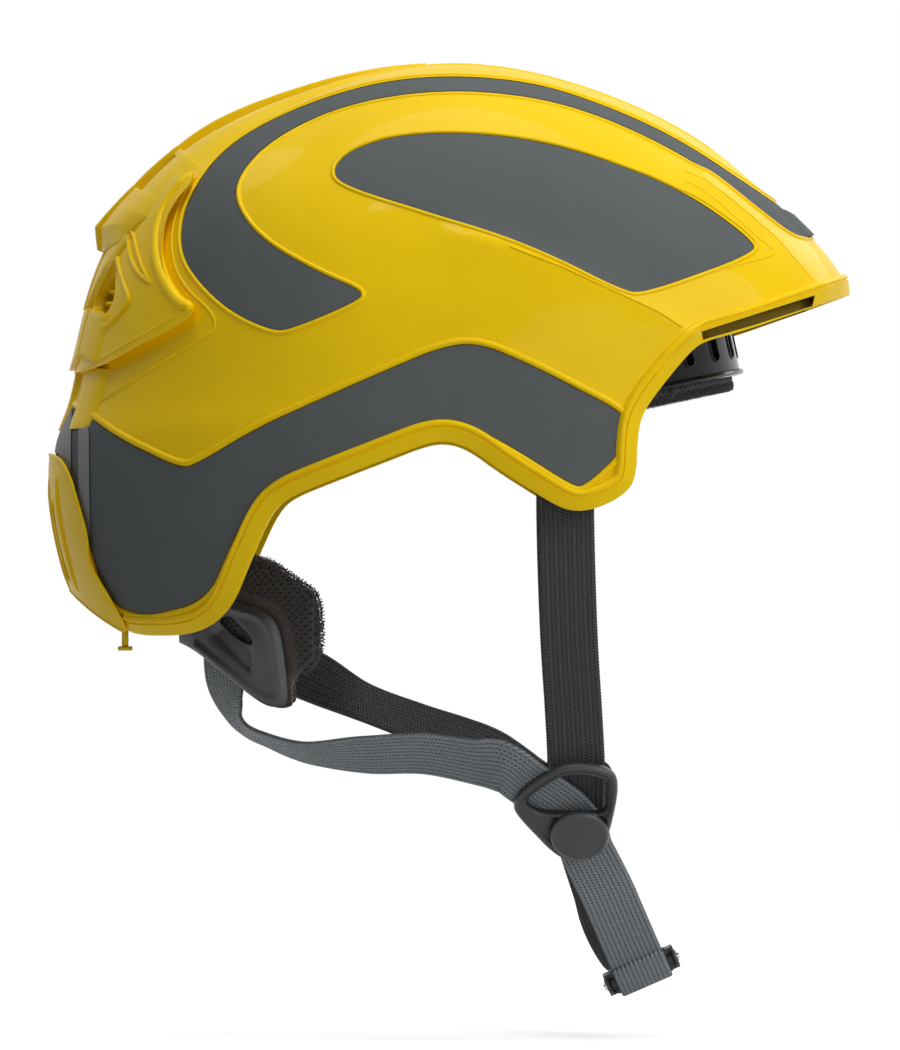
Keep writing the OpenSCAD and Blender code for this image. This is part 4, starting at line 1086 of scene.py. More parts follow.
for a in (-50, -18, 18, 50):
    turns = np.linspace(a - 3, a + 3, 5)
    lug = [bandPoint(turns, grow, 25.4) for grow in (-2.0, 2.0, 5.0, 8.0)]
    lug += [bandPoint(turns, grow, 22.6) for grow in (8.0, 5.0, 2.0, -2.0)]
    if (domeLevel(np.array(lug)) < 1 - 20.6 / 135).all():  # only where the liner leaves room
        rows, cols = len(lug), len(turns)
        faces = gridFaces(rows, cols, wrapRows=True)
        faces += [tuple(i * cols + j for i in range(rows)) for j in (0, cols - 1)]
        cageParts.append(outward(meshPiece("lug", np.concatenate(lug), faces, glossBlack)))
finishPiece(joined("browCage", cageParts), "helmet", "cage_black", "brow_cage", sharp=32)

for side, name in ((-1, "right"), (1, "left")):
    start, end = band["cageEnd"] + 0.4, 177
    parts = [bandWall("band", side * start, side * end,
                      roundedBox(-band["thick"], 0, 0, band["sideHeight"], 0.9), satinBlack),
             bandWall("tab", side * (band["cageEnd"] - 5), side * (band["cageEnd"] + 8),
                      roundedBox(0.05, band["thick"], 3.4, 14, 0.8), satinBlack)]
    for up in (2.6, 13.4):
        line = bandPoint(np.linspace(side * (start + 9), side * (end - 4), 140), 0.05, up)
        parts.append(bead("bandRib", [(line, False)], 0.55, satinBlack, sides=6))
    for a in range(80, 172, 8):
        spot = bandPoint(side * (a + np.array([-1.6, 1.6])), 0.1, 8)
        parts.append(bead("bandMark", [(spot, False)], 0.8, satinBlack, sides=8))
    finishPiece(joined("headband_" + name, parts), "helmet", "black_plastic", "headband_" + name,
                sharp=32)


print("straps")
webbing = {"width": 20.0, "thick": 1.5, "columns": 12, "pick": 1.15, "edgeStep": 1.15}


# Herringbone webbing: the piece's own UV map holds millimetres across and along
def wovenStrap(name, colour, light, roughness, sheen):
    finish = Finish(name, colour, roughness, Specular_IOR_Level=0.3, Sheen_Weight=sheen,
                    Sheen_Roughness=0.45)
    flat = finish.node("ShaderNodeUVMap", uv_map="weave").outputs["UV"]
    split = finish.node("ShaderNodeSeparateXYZ", {"Vector": flat})
    across, along = split.outputs["X"], split.outputs["Y"]
    column = finish.math("MULTIPLY", across, webbing["columns"] / webbing["width"])
    slant = finish.math("PINGPONG", column, 1.0)
    ridge = finish.math("SINE", finish.math("MULTIPLY", column, 2 * math.pi))
    waver = finish.spread(finish.noise(260, 2), -0.25, 0.25)
    phase = finish.math("ADD", finish.math("ADD", finish.math("DIVIDE", along, webbing["pick"]),
                                           finish.math("MULTIPLY", slant, 0.9)), waver)
    yarn = finish.math("SINE", finish.math("MULTIPLY", phase, 2 * math.pi))
    inside = finish.math("ABSOLUTE", finish.math("SINE", finish.math("MULTIPLY", column, math.pi)))
    body = finish.math("MULTIPLY_ADD", yarn, 0.3, finish.spread(inside, 0.1, 0.75, 0, 0.75))
    body = finish.math("MULTIPLY_ADD", ridge, 0.05, body)
    fibre = finish.noise(2400, 2)
    height = finish.math("MULTIPLY_ADD", fibre, 0.22, body)
    # The webbing's colour follows the weave's height: its own herringbone pattern, plus painted
    # shade in the grooves between yarns and painted highlight on the yarn crests.
    finish.tint(finish.spread(height, 0, 1, 0.1, 1.1), [c * 0.42 for c in colour], light)
    finish.rough(finish.spread(fibre, roughness - 0.07, roughness + 0.1))
    finish.bump(height, 0.0004, 0.9)
    return finish.material


strapGrey = wovenStrap("strapGrey", (0.13, 0.147, 0.163), (0.31, 0.34, 0.365), 0.62, 0.12)
strapBlack = wovenStrap("strapBlack", (0.006, 0.006, 0.007), (0.042, 0.043, 0.046), 0.55, 0.04)


# Catmull-Rom route through stations of place and across direction
def smoothStations(stations):
    stations = np.asarray(stations, float)
    ends = np.vstack([stations[:1], stations, stations[-1:]])
    rows = []
    for i in range(len(stations) - 1):
        a, b, c, d = ends[i:i + 4]
        length = np.linalg.norm(c[:3] - b[:3])
        t = np.linspace(0, 1, max(4, int(length / 0.9)), endpoint=False)[:, None]
        rows.append(0.5 * (2 * b + (c - a) * t + (2 * a - 5 * b + 4 * c - d) * t**2
                           + (3 * b - a - 3 * c + d) * t**3))
    rows.append(stations[-1:])
    return np.vstack(rows)


def unitRows(rows):
    return rows / np.maximum(np.linalg.norm(rows, axis=-1, keepdims=True), 1e-9)


# Rounded section of flat webbing as (across, out)
def strapSection(width, thick):
    half, edge = width / 2, thick / 2
    curve = edge * 0.8
    top = [(x, edge) for x in np.linspace(half - curve, curve - half, 19)]
    left = [(curve - half - curve * math.cos(t), edge * math.sin(t))
            for t in (0.9, 0.45, 0, -0.45, -0.9)]
    return top + left + [(-x, -y) for x, y in top + left]


# Small stitches set along a route, as Geometry Nodes instances made real
def stitchTree(name, looped):
    tree, given = routeTree(name, Geometry="Geometry", Spacing="Float", Thickness="Float",
                            Stretch="Float", Slant="Float", Loose="Float", Seed="Int",
                            Finish="Material")
    spots = addNode(tree, "GeometryNodeCurveToPoints", {
        "Curve": given["Geometry"], "Length": given["Spacing"]}, mode="LENGTH")
    if looped:
        hoop = addNode(tree, "GeometryNodeCurvePrimitiveCircle", {
            "Resolution": 9, "Radius": looped * mm})
        thread = addNode(tree, "GeometryNodeCurvePrimitiveCircle", {
            "Resolution": 4, "Radius": given["Thickness"]})
        grain = addNode(tree, "GeometryNodeCurveToMesh", {
            "Curve": hoop.outputs["Curve"], "Profile Curve": thread.outputs["Curve"]})
    else:
        grain = addNode(tree, "GeometryNodeMeshIcoSphere", {
            "Subdivisions": 1, "Radius": given["Thickness"]})
    least = addNode(tree, "ShaderNodeMath", {0: given["Loose"], 1: -1}, operation="MULTIPLY")
    drift = addNode(tree, "FunctionNodeRandomValue", {
        2: least.outputs[0], 3: given["Loose"], "Seed": given["Seed"]}, data_type="FLOAT")
    lean = addNode(tree, "ShaderNodeMath", {0: drift.outputs[1], 1: given["Slant"]})
    turned = addNode(tree, "ShaderNodeCombineXYZ", {"X": lean.outputs[0]})
    facing = addNode(tree, "FunctionNodeRotateEuler", {
        0: spots.outputs["Rotation"], 1: turned.outputs[0]}, space="LOCAL")
    shape = addNode(tree, "ShaderNodeCombineXYZ", {"X": 1, "Y": 1, "Z": given["Stretch"]})
    place = addNode(tree, "GeometryNodeInstanceOnPoints", {
        "Points": spots.outputs["Points"], "Instance": smoothed(tree, grain.outputs["Mesh"]),
        "Rotation": facing.outputs[0], "Scale": shape.outputs[0]})
    return closeTree(tree, place.outputs["Instances"], given["Finish"])


stitches = stitchTree("stitchesAlongRoute", 0)
netLoops = stitchTree("loopsAlongRoute", 0.75)


def stitchRow(name, routes, material, spacing, thick, stretch, slant, loose, seed, tree=stitches):
    return alongRoutes(name, routes, tree, Spacing=spacing * mm, Thickness=thick * mm,
                       Stretch=float(stretch), Slant=float(slant), Loose=loose, Seed=seed,
                       Finish=material)


# Centre, across, along and out directions and the distance at each step of a strap
def strapRun(stations):
    rows = smoothStations(stations)
    centre, across = rows[:, :3], unitRows(rows[:, 3:6])
    along = np.gradient(centre, axis=0)
    travelled = np.r_[0, np.cumsum(np.linalg.norm(np.diff(centre, axis=0), axis=1))]
    return centre, across, along, travelled


def setFlat(piece, name, flat):
    layer = piece.data.uv_layers.new(name=name)
    corners = np.zeros(len(piece.data.loops), int)
    piece.data.loops.foreach_get("vertex_index", corners)
    layer.data.foreach_set("uv", np.asarray(flat)[corners].ravel())


def strapPiece(name, stations, material):
    centre, across, along, travelled = strapRun(stations)
    out = unitRows(np.cross(along, across))
    across = unitRows(np.cross(out, unitRows(along)))
    section = np.array(strapSection(webbing["width"], webbing["thick"]))
    grid = (centre[:, None] + across[:, None] * section[None, :, :1]
            + out[:, None] * section[None, :, 1:2])
    count, width = grid.shape[:2]
    piece = meshPiece(name, grid.reshape(-1, 3),
                      gridFaces(count, width, wrapCols=True) + endCaps(count, width), material)
    setFlat(piece, "weave", np.stack([
        np.broadcast_to(section[:, 0], (count, width)),
        np.broadcast_to(travelled[:, None], (count, width))], -1).reshape(-1, 2))
    outward(piece)
    edges = [(centre + across * side * (webbing["width"] / 2 - 0.25), False) for side in (-1, 1)]
    trim = stitchRow("picots", edges, material, webbing["edgeStep"], thick=0.42, stretch=1.35,
                     slant=0.5, loose=0.2, seed=4)
    return joined(name, [piece, trim])


def mirroredStations(stations):
    return [(s[0], -s[1], s[2], s[3], -s[4], s[5]) for s in stations]


dividerFrame = {"tilt": 36, "y": 77, "z": -150, "thick": 3.0, "capRadius": 10.8, "capThick": 3.6,
                "cap": (47.4, -9.6)}
behind = dividerFrame["thick"] / 2 + 0.5 + webbing["thick"] / 2
frontDepth = behind + webbing["thick"] + 0.8


def inDivider(x, up, depth):
    turn = math.radians(dividerFrame["tilt"])
    return (x, depth * math.cos(turn) - up * math.sin(turn) - dividerFrame["y"],
            depth * math.sin(turn) + up * math.cos(turn) + dividerFrame["z"])


def acrossDivider(angle):
    turn, tilt = math.radians(angle), math.radians(dividerFrame["tilt"])
    return (math.cos(turn), -math.sin(turn) * math.sin(tilt), math.sin(turn) * math.cos(tilt))


nearRoute = [
    (-83, -49, -93, 0.75, -0.66, -0.1), (-82.5, -49, -103, 0.7, -0.7, -0.1),
    (-80, -50.2, -113, 0.46, -0.86, -0.15), (-76, -52, -120, 0.25, -0.97, 0),
    (-68, -56, -125, 0.06, -0.98, 0.18), (-52, -62, -130, 0.03, -0.93, 0.36),
    (-31, -68, -130.5, 0.03, -0.75, 0.66), (-10, -73, -130, 0.03, -0.68, 0.73),
    (9, -78, -133, 0.15, -0.6, 0.78)]
farRoute = [
    (-87.6, 55.6, -92, 0, 0, 1), (-75.7, 64.4, -95, 0, 0, 1), (-66.5, 70.8, -98, 0, 0, 1),
    (-54, 74.4, -102, 0.1, 0.2, 1), (-34, 74.5, -112, 0.2, 0.7, 0.68),
    (-12, 75, -120.5, 0.2, 0.7, 0.68), (6, 76, -127, 0.25, 0.62, 0.72)]
dividerRun = [inDivider(x, up, behind + extra) + acrossDivider(angle) for x, up, angle, extra in
              ((20, 16, 52, 1), (27, 10.5, 50, 0), (33, 5.5, 48, 0), (40, -0.5, 46, 0))]


def domeY(x, z, inset):
    return float(abs(fromSide(np.array(x, float), np.array(z, float), 1, -inset)[..., 1]))


anchor = {"x": 42.5, "z": -10, "thick": 2.0}
anchor["y"] = domeY(anchor["x"] + 13, anchor["z"] - 8, shellForm["wall"] + 0.5) - anchor["thick"]
frontStations = [(anchor["x"], -min(anchor["y"] - 0.3, domeY(anchor["x"] + 10, z, 4.0)) + 0.75, z,
                  1, 0, 0) for z in (anchor["z"] + 4, -26, -42)]
frontStations += [(43, -97, -64, 1, 0, 0.02), (44, -92, -90, 1, -0.05, 0.04),
                  (45.5, -87.5, -114, 1, -0.08, 0.06)]
frontStations += [inDivider(46.5, up, frontDepth) + acrossDivider(4) for up in (18, 4, -8)]

chin = {"tilt": 23.5, "drop": 57, "x": 70.9, "z": -211.3,
        "curve": [(53.4, 24), (47.5, 33.5), (41, 42.5), (33, 50.5), (26, 54.6)]}
chinTurn = math.radians(chin["tilt"])


def chinPlace(along, y, up):
    return (chin["x"] + along * math.cos(chinTurn) - up * math.sin(chinTurn), y,
            along * math.sin(chinTurn) + up * math.cos(chinTurn) + chin["z"])


# Down from the divider, round the buckle's bar and a sewn tail back up
def chinStations(bar, swing):
    lean = (math.cos(chinTurn), 0, math.sin(chinTurn))
    nearSide = bar < 15
    rows = [inDivider(x, up, frontDepth) + acrossDivider(angle)
            for x, up, angle in ((46.8, -8.7, 5), (48.5, -16, 9), (50.2, -23, 14))]
    bow = [swing * math.sin(math.radians(36 * (i + 1))) for i in range(len(chin["curve"]))]
    rows += [chinPlace(ahead, -y, chin["drop"] - down) + lean
             for ahead, (y, down) in zip(bow, chin["curve"]) if y > bar + 6]
    fold = [(4.5, 3.6 if nearSide else 5.2), (1.0, 4.95), (-1.4, 4.7), (-3.2, 2.6), (-3.3, -2.6),
            (-1.4, -4.9), (1.2, -5.1), (5, -3.4), (10, -0.9), (16, 1.9)]
    rows += [chinPlace(0, -(bar + y), up) + lean for y, up in fold]
    return rows + ([chinPlace(0, -33.2, 4.9) + lean] if nearSide else [])


def sewingThread(name, colour):
    finish = Finish(name, colour, 0.55)
    finish.bump(finish.noise(2600, 2), 0.0001, 0.8)
    finish.rough(finish.spread(finish.noise(900), 0.45, 0.7))
    return finish.material


threadGrey = sewingThread("threadGrey", (0.19, 0.21, 0.225))


# A sewn box of stitches lying on a strap between two distances along it
def boxStitch(stations, start, end, lift, thread):
    centre, across, along, travelled = strapRun(stations)
    out = unitRows(np.cross(unitRows(along), across))

    def at(u, v):
        spot, sideways, outwards = (
            np.array([np.interp(v, travelled, rows[:, k]) for k in range(3)])
            for rows in (centre, across, out))
        return spot + sideways * u + outwards * lift

    side = webbing["width"] / 2 - 3.2
    corners = [(-side, start), (side, start), (side, end), (-side, end), (-side, start),
               (side, end), (side, start), (-side, end)]
    route = []
    for a, b in zip(corners, corners[1:]):
        for t in np.linspace(0, 1, 14, endpoint=False):
            route.append(at(a[0] + (b[0] - a[0]) * t, a[1] + (b[1] - a[1]) * t))
    return stitchRow("sewing", [(np.array(route), False)], thread, 1.7, thick=0.3, stretch=2.4,
                     slant=0, loose=0.08, seed=7)


underCap = [inDivider(x, up, behind + 0.1) + acrossDivider(angle)
            for x, up, angle in ((43.6, -5, 42), (46.5, -9.6, 40))]
dividerRun += underCap
rightRear = nearRoute + dividerRun
leftRear = farRoute + mirroredStations(dividerRun)
frontLeft = mirroredStations(frontStations)
chinRight = chinStations(12.3, 0)
chinLeft = mirroredStations(chinStations(24.9, -4))
blends = {
    "rear_strap_right": ("wing_right", "helmet", (-82, -50, -100), (-52, -62, -130)),
    "rear_strap_left": ("wing_left", "helmet", (-75, 64, -95), (-34, 74.5, -112)),
    "chin_strap_left": ("helmet", "plug", np.array(inDivider(48, -20, 0)) * [1, -1, 1],
                        chinPlace(0, 34, 0))}
for name, stations, material, slotName, sewing in (
        ("rear_strap_right", rightRear, strapGrey, "webbing_grey", None),
        ("rear_strap_left", leftRear, strapBlack, "webbing_black", None),
        ("front_strap_right", frontStations, strapBlack, "webbing_black",
         (8, 20, -0.85, threadGrey)),
        ("front_strap_left", frontLeft, strapBlack, "webbing_black", (8, 20, 0.85, threadGrey)),
        ("chin_strap_right", chinRight, strapGrey, "webbing_grey", None),
        ("chin_strap_left", chinLeft, strapBlack, "webbing_black", None)):
    piece = strapPiece(name + "Cloth", stations, material)
    if sewing:
        piece = joined(name + "Cloth", [piece, boxStitch(stations, *sewing)])
    if name in blends:
        first, second, start, end = blends[name]
        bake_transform(piece)
    finishPiece(piece, None if name in blends else "helmet", slotName, name)


# A CAD part's own shape with its edges rounded over
def softened(node, material, width):
    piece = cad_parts[node].copy()
    piece.data = piece.data.copy()
    piece.name = node + "Rounded"
    for key in list(piece.keys()):
        del piece[key]
    piece.parent = None
    piece.matrix_world.identity()
    bpy.context.collection.objects.link(piece)
    form = bmesh.new()
    form.from_mesh(piece.data)
    bmesh.ops.remove_doubles(form, verts=form.verts, dist=2e-6)
    bmesh.ops.dissolve_limit(form, angle_limit=math.radians(2), verts=form.verts, edges=form.edges)
    form.to_mesh(piece.data)
    form.free()
    repaint(piece, material)
    bevel = piece.modifiers.new("edges", "BEVEL")
    bevel.width, bevel.segments = width * mm, 2
    bevel.limit_method = "ANGLE"
    bevel.angle_limit = math.radians(35)
    bevel.harden_normals = True
    bakeModifiers(piece)
    piece.data.shade_smooth()
    piece.data.set_sharp_from_angle(angle=math.radians(42))
    return piece


print("dividers, caps and buckle")
dividerLook = {
    "outline": [(23, 2.5), (26, 9), (36, 17.3), (41, 20.4), (48, 21), (57, 19.2), (61.5, 14.2),
                (61, 3.7), (57.5, -15), (47, -24), (39, -21.5), (24, -2)],
    "window": [(27.5, 3.1), (29, 6.8), (39, 15.1), (44, 16.7), (50, 16.7), (56.5, 14.6),
               (57.7, 11.7), (57, -1.5), (33, -1.5)],
    "middle": (45, 6), "crest": 2.5, "back": -1.5}
capBlack = mouldedPlastic("capBlack", (0.021, 0.024, 0.028), (0.025, 0.028, 0.033), 0.34, 3000,
                          0.00004)


# Where a ray from the middle meets an outline, for one point per turn
def rayHits(outline, middle, turns):
    outline, middle = np.asarray(outline, float), np.asarray(middle, float)
    a, b = outline - middle, np.roll(outline, -1, 0) - middle
    hits = []
    for turn in turns:
        ray = np.array([math.cos(turn), math.sin(turn)])
        edge = b - a
        cross = ray[0] * edge[:, 1] - ray[1] * edge[:, 0]
        cross = np.where(np.abs(cross) < 1e-9, 1e-9, cross)
        reach = (a[:, 0] * edge[:, 1] - a[:, 1] * edge[:, 0]) / cross
        share = (a[:, 0] * ray[1] - a[:, 1] * ray[0]) / cross
        good = (reach > 0) & (share >= -1e-6) & (share <= 1 + 1e-6)
        hits.append(middle + ray * reach[good].max())
    return np.array(hits)


# A flat frame with a rounded raised rim between its outline and its window
def rimmedFrame(name, toSpace, material):
    turns = np.linspace(0, 2 * math.pi, 128, endpoint=False)
    outer = rayHits(rounded(dividerLook["outline"], 4.5), dividerLook["middle"], turns)
    inner = rayHits(rounded(dividerLook["window"], 2.2), dividerLook["middle"], turns)
    width = np.linalg.norm(outer - inner, axis=1)
    inward = (inner - outer) / width[:, None]
    crest, back = dividerLook["crest"], dividerLook["back"]
    profile = [(0.6, back, 0), (0, back + 0.6, 0), (0, 0.6, 0), (0.25, 1.4, 0), (0.9, 2.1, 0),
               (1.8, crest, 0), (2.6, crest - 0.05, 0), (3.3, 2.0, 0), (3.9, 1.75, 0),
               (-1.6, 1.75, 1), (-0.9, 2.15, 1), (-0.35, 1.9, 1), (0, 1.3, 1), (0, back + 0.5, 1),
               (-0.5, back, 1)]
    rows = []
    for inside, depth, fromInner in profile:
        base = np.where(width > 5.8, 1.0, width / 5.8)[:, None]
        at = (inner if fromInner else outer) + inward * inside * base
        rows.append(np.column_stack([at, np.full(len(at), depth)]))
    grid = np.stack(rows, 1)
    space = np.array([toSpace(x, up, -depth) for x, up, depth in grid.reshape(-1, 3)])
    count, columns = grid.shape[:2]
    return outward(meshPiece(name, space, gridFaces(count, columns, wrapRows=True, wrapCols=True),
                             material))


def domedCap(name, toSpace, material):
    radius, thick, start = dividerFrame["capRadius"], dividerFrame["capThick"], 2.3
    steps = [(0.9, 0), (0.2, 0.25), (0, 0.9), (0, 1.5), (0.35, 2.3), (1.0, 2.95), (1.7, 3.2),
             (2.1, 3.12), (2.4, 3.0), (3.2, 3.12), (5.5, 3.38), (8.2, 3.54)]
    profile = [(0, 0)] + [(radius - inset, height) for inset, height in steps] + [(0.0, thick)]
    turns = np.linspace(0, 2 * math.pi, 96, endpoint=False)
    rows = [[(dividerFrame["cap"][0] + r * math.cos(t), dividerFrame["cap"][1] + r * math.sin(t),
              start + h) for r, h in profile] for t in turns]
    space = np.array([toSpace(x, up, -depth) for row in rows for x, up, depth in row])
    faces = gridFaces(len(turns), len(profile), wrapRows=True)
    return outward(meshPiece(name, space, faces, material))


def leftDivider(x, up, depth):
    at = inDivider(x, up, depth)
    return (at[0], -at[1], at[2])


for side, place in (("right", inDivider), ("left", leftDivider)):
    frameBody = rimmedFrame("dividerFrame", place, satinBlack)
    finishPiece(frameBody, "helmet", "black_plastic", "divider_" + side, sharp=40)
    cap = domedCap("cap", place, capBlack)
    finishPiece(cap, "helmet", "plate_grey", "divider_cap_" + side, sharp=50)

steelFinish = Finish("steelBright", (0.55, 0.56, 0.57), 0.24, Metallic=1.0)
steelFinish.rough(steelFinish.spread(steelFinish.noise(700, 4), 0.16, 0.34))
steelFinish.bump(steelFinish.noise(1400, 3), 0.00002)
steelBright = steelFinish.material
buckle = {"width": 28, "barAt": -11.4, "barRadius": 2.3, "eyeRadius": 2.9}


def fromChin(points):
    points = np.atleast_2d(points)
    return np.array([chinPlace(x, y, up)[:3] for x, y, up in points])


def chinBar(name, x0, x1, radius, material):
    line = fromChin([(x, buckle["barAt"], 0) for x in np.linspace(x0, x1, 24)])
    return bead(name, [(line, False)], radius, material, sides=16)


socket = softened("buckle_socket", satinBlack, 0.55)
parts = [socket]
for up in (4.7, -4.7):
    ribs = [(fromChin([(x, y, up) for x in np.linspace(-8, 8, 18)]), False)
            for y in (-1.5, 1, 3.5, 6)]
    parts.append(bead("gripRib", ribs, 0.45, satinBlack))
barEnd = buckle["width"] / 2 - 0.2
parts.append(chinBar("bar", -barEnd, barEnd, buckle["barRadius"], satinBlack))
for x in (-13.2, 13.2):
    eye = fromChin([(x, buckle["barAt"] + buckle["eyeRadius"] * math.cos(t),
                     buckle["eyeRadius"] * math.sin(t))
                    for t in np.linspace(0, 2 * math.pi, 28, endpoint=False)])
    parts.append(bead("eye", [(eye, True)], 0.95, satinBlack, sides=10))
finishPiece(joined("buckleSocket", parts), "helmet", "black_plastic", "buckle_socket", sharp=40)
pins = [chinBar("pin", x0, x1, 1.15, steelBright) for x0, x1 in ((-15.2, -13.4), (13.4, 15.2))]
finishPiece(joined("bucklePins", pins), "helmet", "steel")

plug = softened("buckle_plug", satinBlack, 0.5)
plugRibs = [(fromChin([(x, y, up) for x in np.linspace(-9, 9, 18)]), False)
            for y in (14.5, 16.5) for up in (3.9, -3.9)]
plugParts = [plug, bead("plugRib", plugRibs, 0.4, satinBlack)]
finishPiece(joined("bucklePlug", plugParts), "plug", "black_plastic", "buckle_plug", sharp=40)
for side in ("front", "rear"):
    finishPiece(softened("buckle_prong_" + side, satinBlack, 0.35), "prong_" + side,
                "black_plastic", "buckle_prong_" + side)

print("nape adjuster")
for node, body, material, slotName, width in (
        ("adjuster_bracket", "helmet", satinBlack, "black_plastic", 0.5),
        ("adjuster_housing", "helmet", satinBlack, "black_plastic", 0.6),
        ("adjuster_lid", "helmet", plateGrey, "plate_grey", 0.4),
        ("adjuster_knob", "knob", satinBlack, "black_plastic", 0.5),
        ("adjuster_pinion", "knob", steelBright, "steel", 0.12),
        ("nape_rack_right", "wing_right", plateGrey, "plate_grey", 0.15),
        ("nape_rack_left", "wing_left", plateGrey, "plate_grey", 0.15),
        ("housing_screws", "helmet", steelBright, "steel", 0.15),
        ("front_anchor_right", "helmet", satinBlack, "black_plastic", 0.4),
        ("front_anchor_left", "helmet", satinBlack, "black_plastic", 0.4)):
    finishPiece(softened(node, material, width), body, slotName, node)


print("nape wings")
nape = {
    "wing": [(-116, -52), (-98, -54), (-90, -70), (-78, -75), (-68, -77.5), (-63, -83),
             (-61, -92), (-59, -110), (-61, -113), (-67, -113), (-75, -107.5), (-98, -89),
             (-116, -86)],
    "window": [(-81, -79), (-73, -87), (-71.5, -100), (-74, -101), (-89, -86)],
    "pad": [(-96, -66), (-84, -60), (-70, -56.5), (-55, -67), (-49, -71), (-47, -79),
            (-47, -94), (-50, -99), (-57, -105), (-55, -113), (-61, -116), (-67, -114),
            (-73, -103), (-75, -90.5), (-96, -84)],
    "opening": [(-85.5, -81.5), (-81, -79), (-73, -87), (-72, -91), (-78, -88.5)],
    "centre": -25, "halfLength": 85, "halfWidth": 74, "half": 1.5, "padDepth": 8.0, "wingIn": 38.0,
    "padIn": 10.3, "rimRise": 1.15}


# Curve round the nape seen from above, moved outward by grow
def napePoint(angle, z, grow, side):
    turn, z, grow = np.broadcast_arrays(np.radians(angle), z, np.asarray(grow, float))
    return np.stack([nape["centre"] + (nape["halfLength"] + grow) * np.cos(turn),
                     side * (nape["halfWidth"] + grow) * np.sin(turn), z], -1)


# Closed wall between two grow values, dense enough to carry its relief
def napeWall(name, outer, inner, side, material, step=0.9):
    angles = np.arange(92, 172.01, step * 0.72)
    heights = np.arange(-120, -47.99, step)
    a, z = np.meshgrid(angles, heights, indexing="ij")
    flat = napePoint(a, z, 0, side)
    front = napePoint(a, z, outer(flat[..., 0], z) if callable(outer) else outer, side)
    back = napePoint(a, z, inner, side)
    rows, cols = a.shape
    count = rows * cols
    faces = gridFaces(rows, cols)
    faces += [tuple(i + count for i in face[::-1]) for face in gridFaces(rows, cols)]
    ring = [i * cols for i in range(rows)] + [(rows - 1) * cols + j for j in range(1, cols)]
    ring += [i * cols + cols - 1 for i in range(rows - 2, -1, -1)] + list(range(cols - 2, 0, -1))
    for i, k in enumerate(ring):
        nxt = ring[(i + 1) % len(ring)]
        faces.append((k, nxt, nxt + count, k + count))
    points = np.vstack([front.reshape(-1, 3), back.reshape(-1, 3)])
    return outward(meshPiece(name, points, faces, material))


wingLine = rounded(nape["wing"], 5)
windowLine = rounded(nape["window"], 2.5)


def wingRelief(x, z):
    places = np.stack([x, z], -1).reshape(-1, 2)
    edge = insideDistance(places, wingLine).reshape(x.shape)
    inHole = (insideDistance(places, windowLine) > 0).reshape(x.shape)
    hole = np.abs(insideDistance(places, windowLine)).reshape(x.shape)
    rim = np.clip(1 - np.abs(edge - 2.3) / 2.3, 0, 1)
    rim = np.where(x < -93, 0, 1) * eased(rim)
    lip = np.clip(1 - hole / 2.2, 0, 1)
    dish = np.clip((edge - 5) / 4, 0, 1) * np.clip((hole - 2) / 3, 0, 1) * ~inHole
    soft = np.clip(1 - edge / 1.0, 0, 1)
    slope = np.clip((x * 0.6 + z * 0.8 + 131.5) / 14, 0, 1)
    cup = eased(np.clip(-0.2 + hole / 1.3, 0, 1)) * (0.7 + 1.5 * slope) * inHole
    sunk = cup + 0.55 * lip * lip + 0.35 * dish + 0.8 * soft**2
    return nape["half"] + nape["rimRise"] * rim - sunk


for side, name in ((-1, "right"), (1, "left")):
    wing = napeWall("wing", wingRelief, -nape["half"], side, plateGrey)
    low, high = (-95, -nape["wingIn"]) if side < 0 else (nape["wingIn"], 95)
    carve(wing, sidePrism(wingLine, low, high), "INTERSECT")
    carve(wing, sidePrism(rounded(nape["opening"], 1.5), low, high))
    repaint(wing, plateGrey)
    finishPiece(wing, "wing_" + name, "plate_grey", "nape_wing_" + name, sharp=38)


print("pads")


# Spacer mesh: staggered holes in the pad's own UV map, painted near black as painted shade, fuzz
# between them
def spacerMesh(name, colour, light, holes=True):
    finish = Finish(name, colour, 0.95, Specular_IOR_Level=0.12, Sheen_Weight=0.25,
                    Sheen_Roughness=0.6)
    fuzz = finish.math("MULTIPLY_ADD", finish.noise(1500, 4, 0.7), 0.6,
                       finish.math("MULTIPLY", finish.cells(1500), 0.5))
    height = fuzz
    if holes:
        flat = finish.node("ShaderNodeUVMap", uv_map="net").outputs["UV"]
        split = finish.node("ShaderNodeSeparateXYZ", {"Vector": flat})
        wide, tall = 3.1, 1.5  # pitch of the holes in millimetres
        row = finish.math("DIVIDE", split.outputs["Y"], tall)
        shift = finish.math("MULTIPLY", finish.math("MODULO", finish.math("FLOOR", row), 2.0), 0.5)
        column = finish.math("ADD", finish.math("DIVIDE", split.outputs["X"], wide), shift)
        x, y = (finish.math("MULTIPLY_ADD", finish.math("FRACT", v), size, -size / 2)
                for v, size in ((column, wide), (row, tall)))
        slant = finish.math("MULTIPLY_ADD", y, 0.5, x)
        square = finish.math("MULTIPLY_ADD", slant, slant, finish.math("MULTIPLY", y, y))
        gap = finish.math("SQRT", square)
        hole = finish.spread(gap, 0, 1, 0.42, 0.72)
        height = finish.math("MULTIPLY", finish.math("ADD", fuzz, 0.9), hole)
        # The holes are painted near black: painted shade for their depth, with the fuzz's own tone
        # between them.
        finish.tint(finish.spread(height, 0, 1, 0.1, 1.5), (0.003, 0.003, 0.003), light)
    else:
        finish.tint(finish.spread(fuzz, 0, 1, 0.3, 0.9), colour, light)
    finish.rough(finish.spread(fuzz, 0.85, 1.0))
    finish.bump(height, 0.0007, 0.9)
    return finish.material


netBrown = spacerMesh("netBrown", (0.022, 0.017, 0.016), (0.046, 0.038, 0.037))
fuzzBrown = spacerMesh("fuzzBrown", (0.028, 0.021, 0.019), (0.115, 0.092, 0.083), holes=False)
padBlack = spacerMesh("padBlack", (0.008, 0.008, 0.009), (0.028, 0.028, 0.031))
fuzzBlack = spacerMesh("fuzzBlack", (0.009, 0.009, 0.01), (0.05, 0.05, 0.054), holes=False)


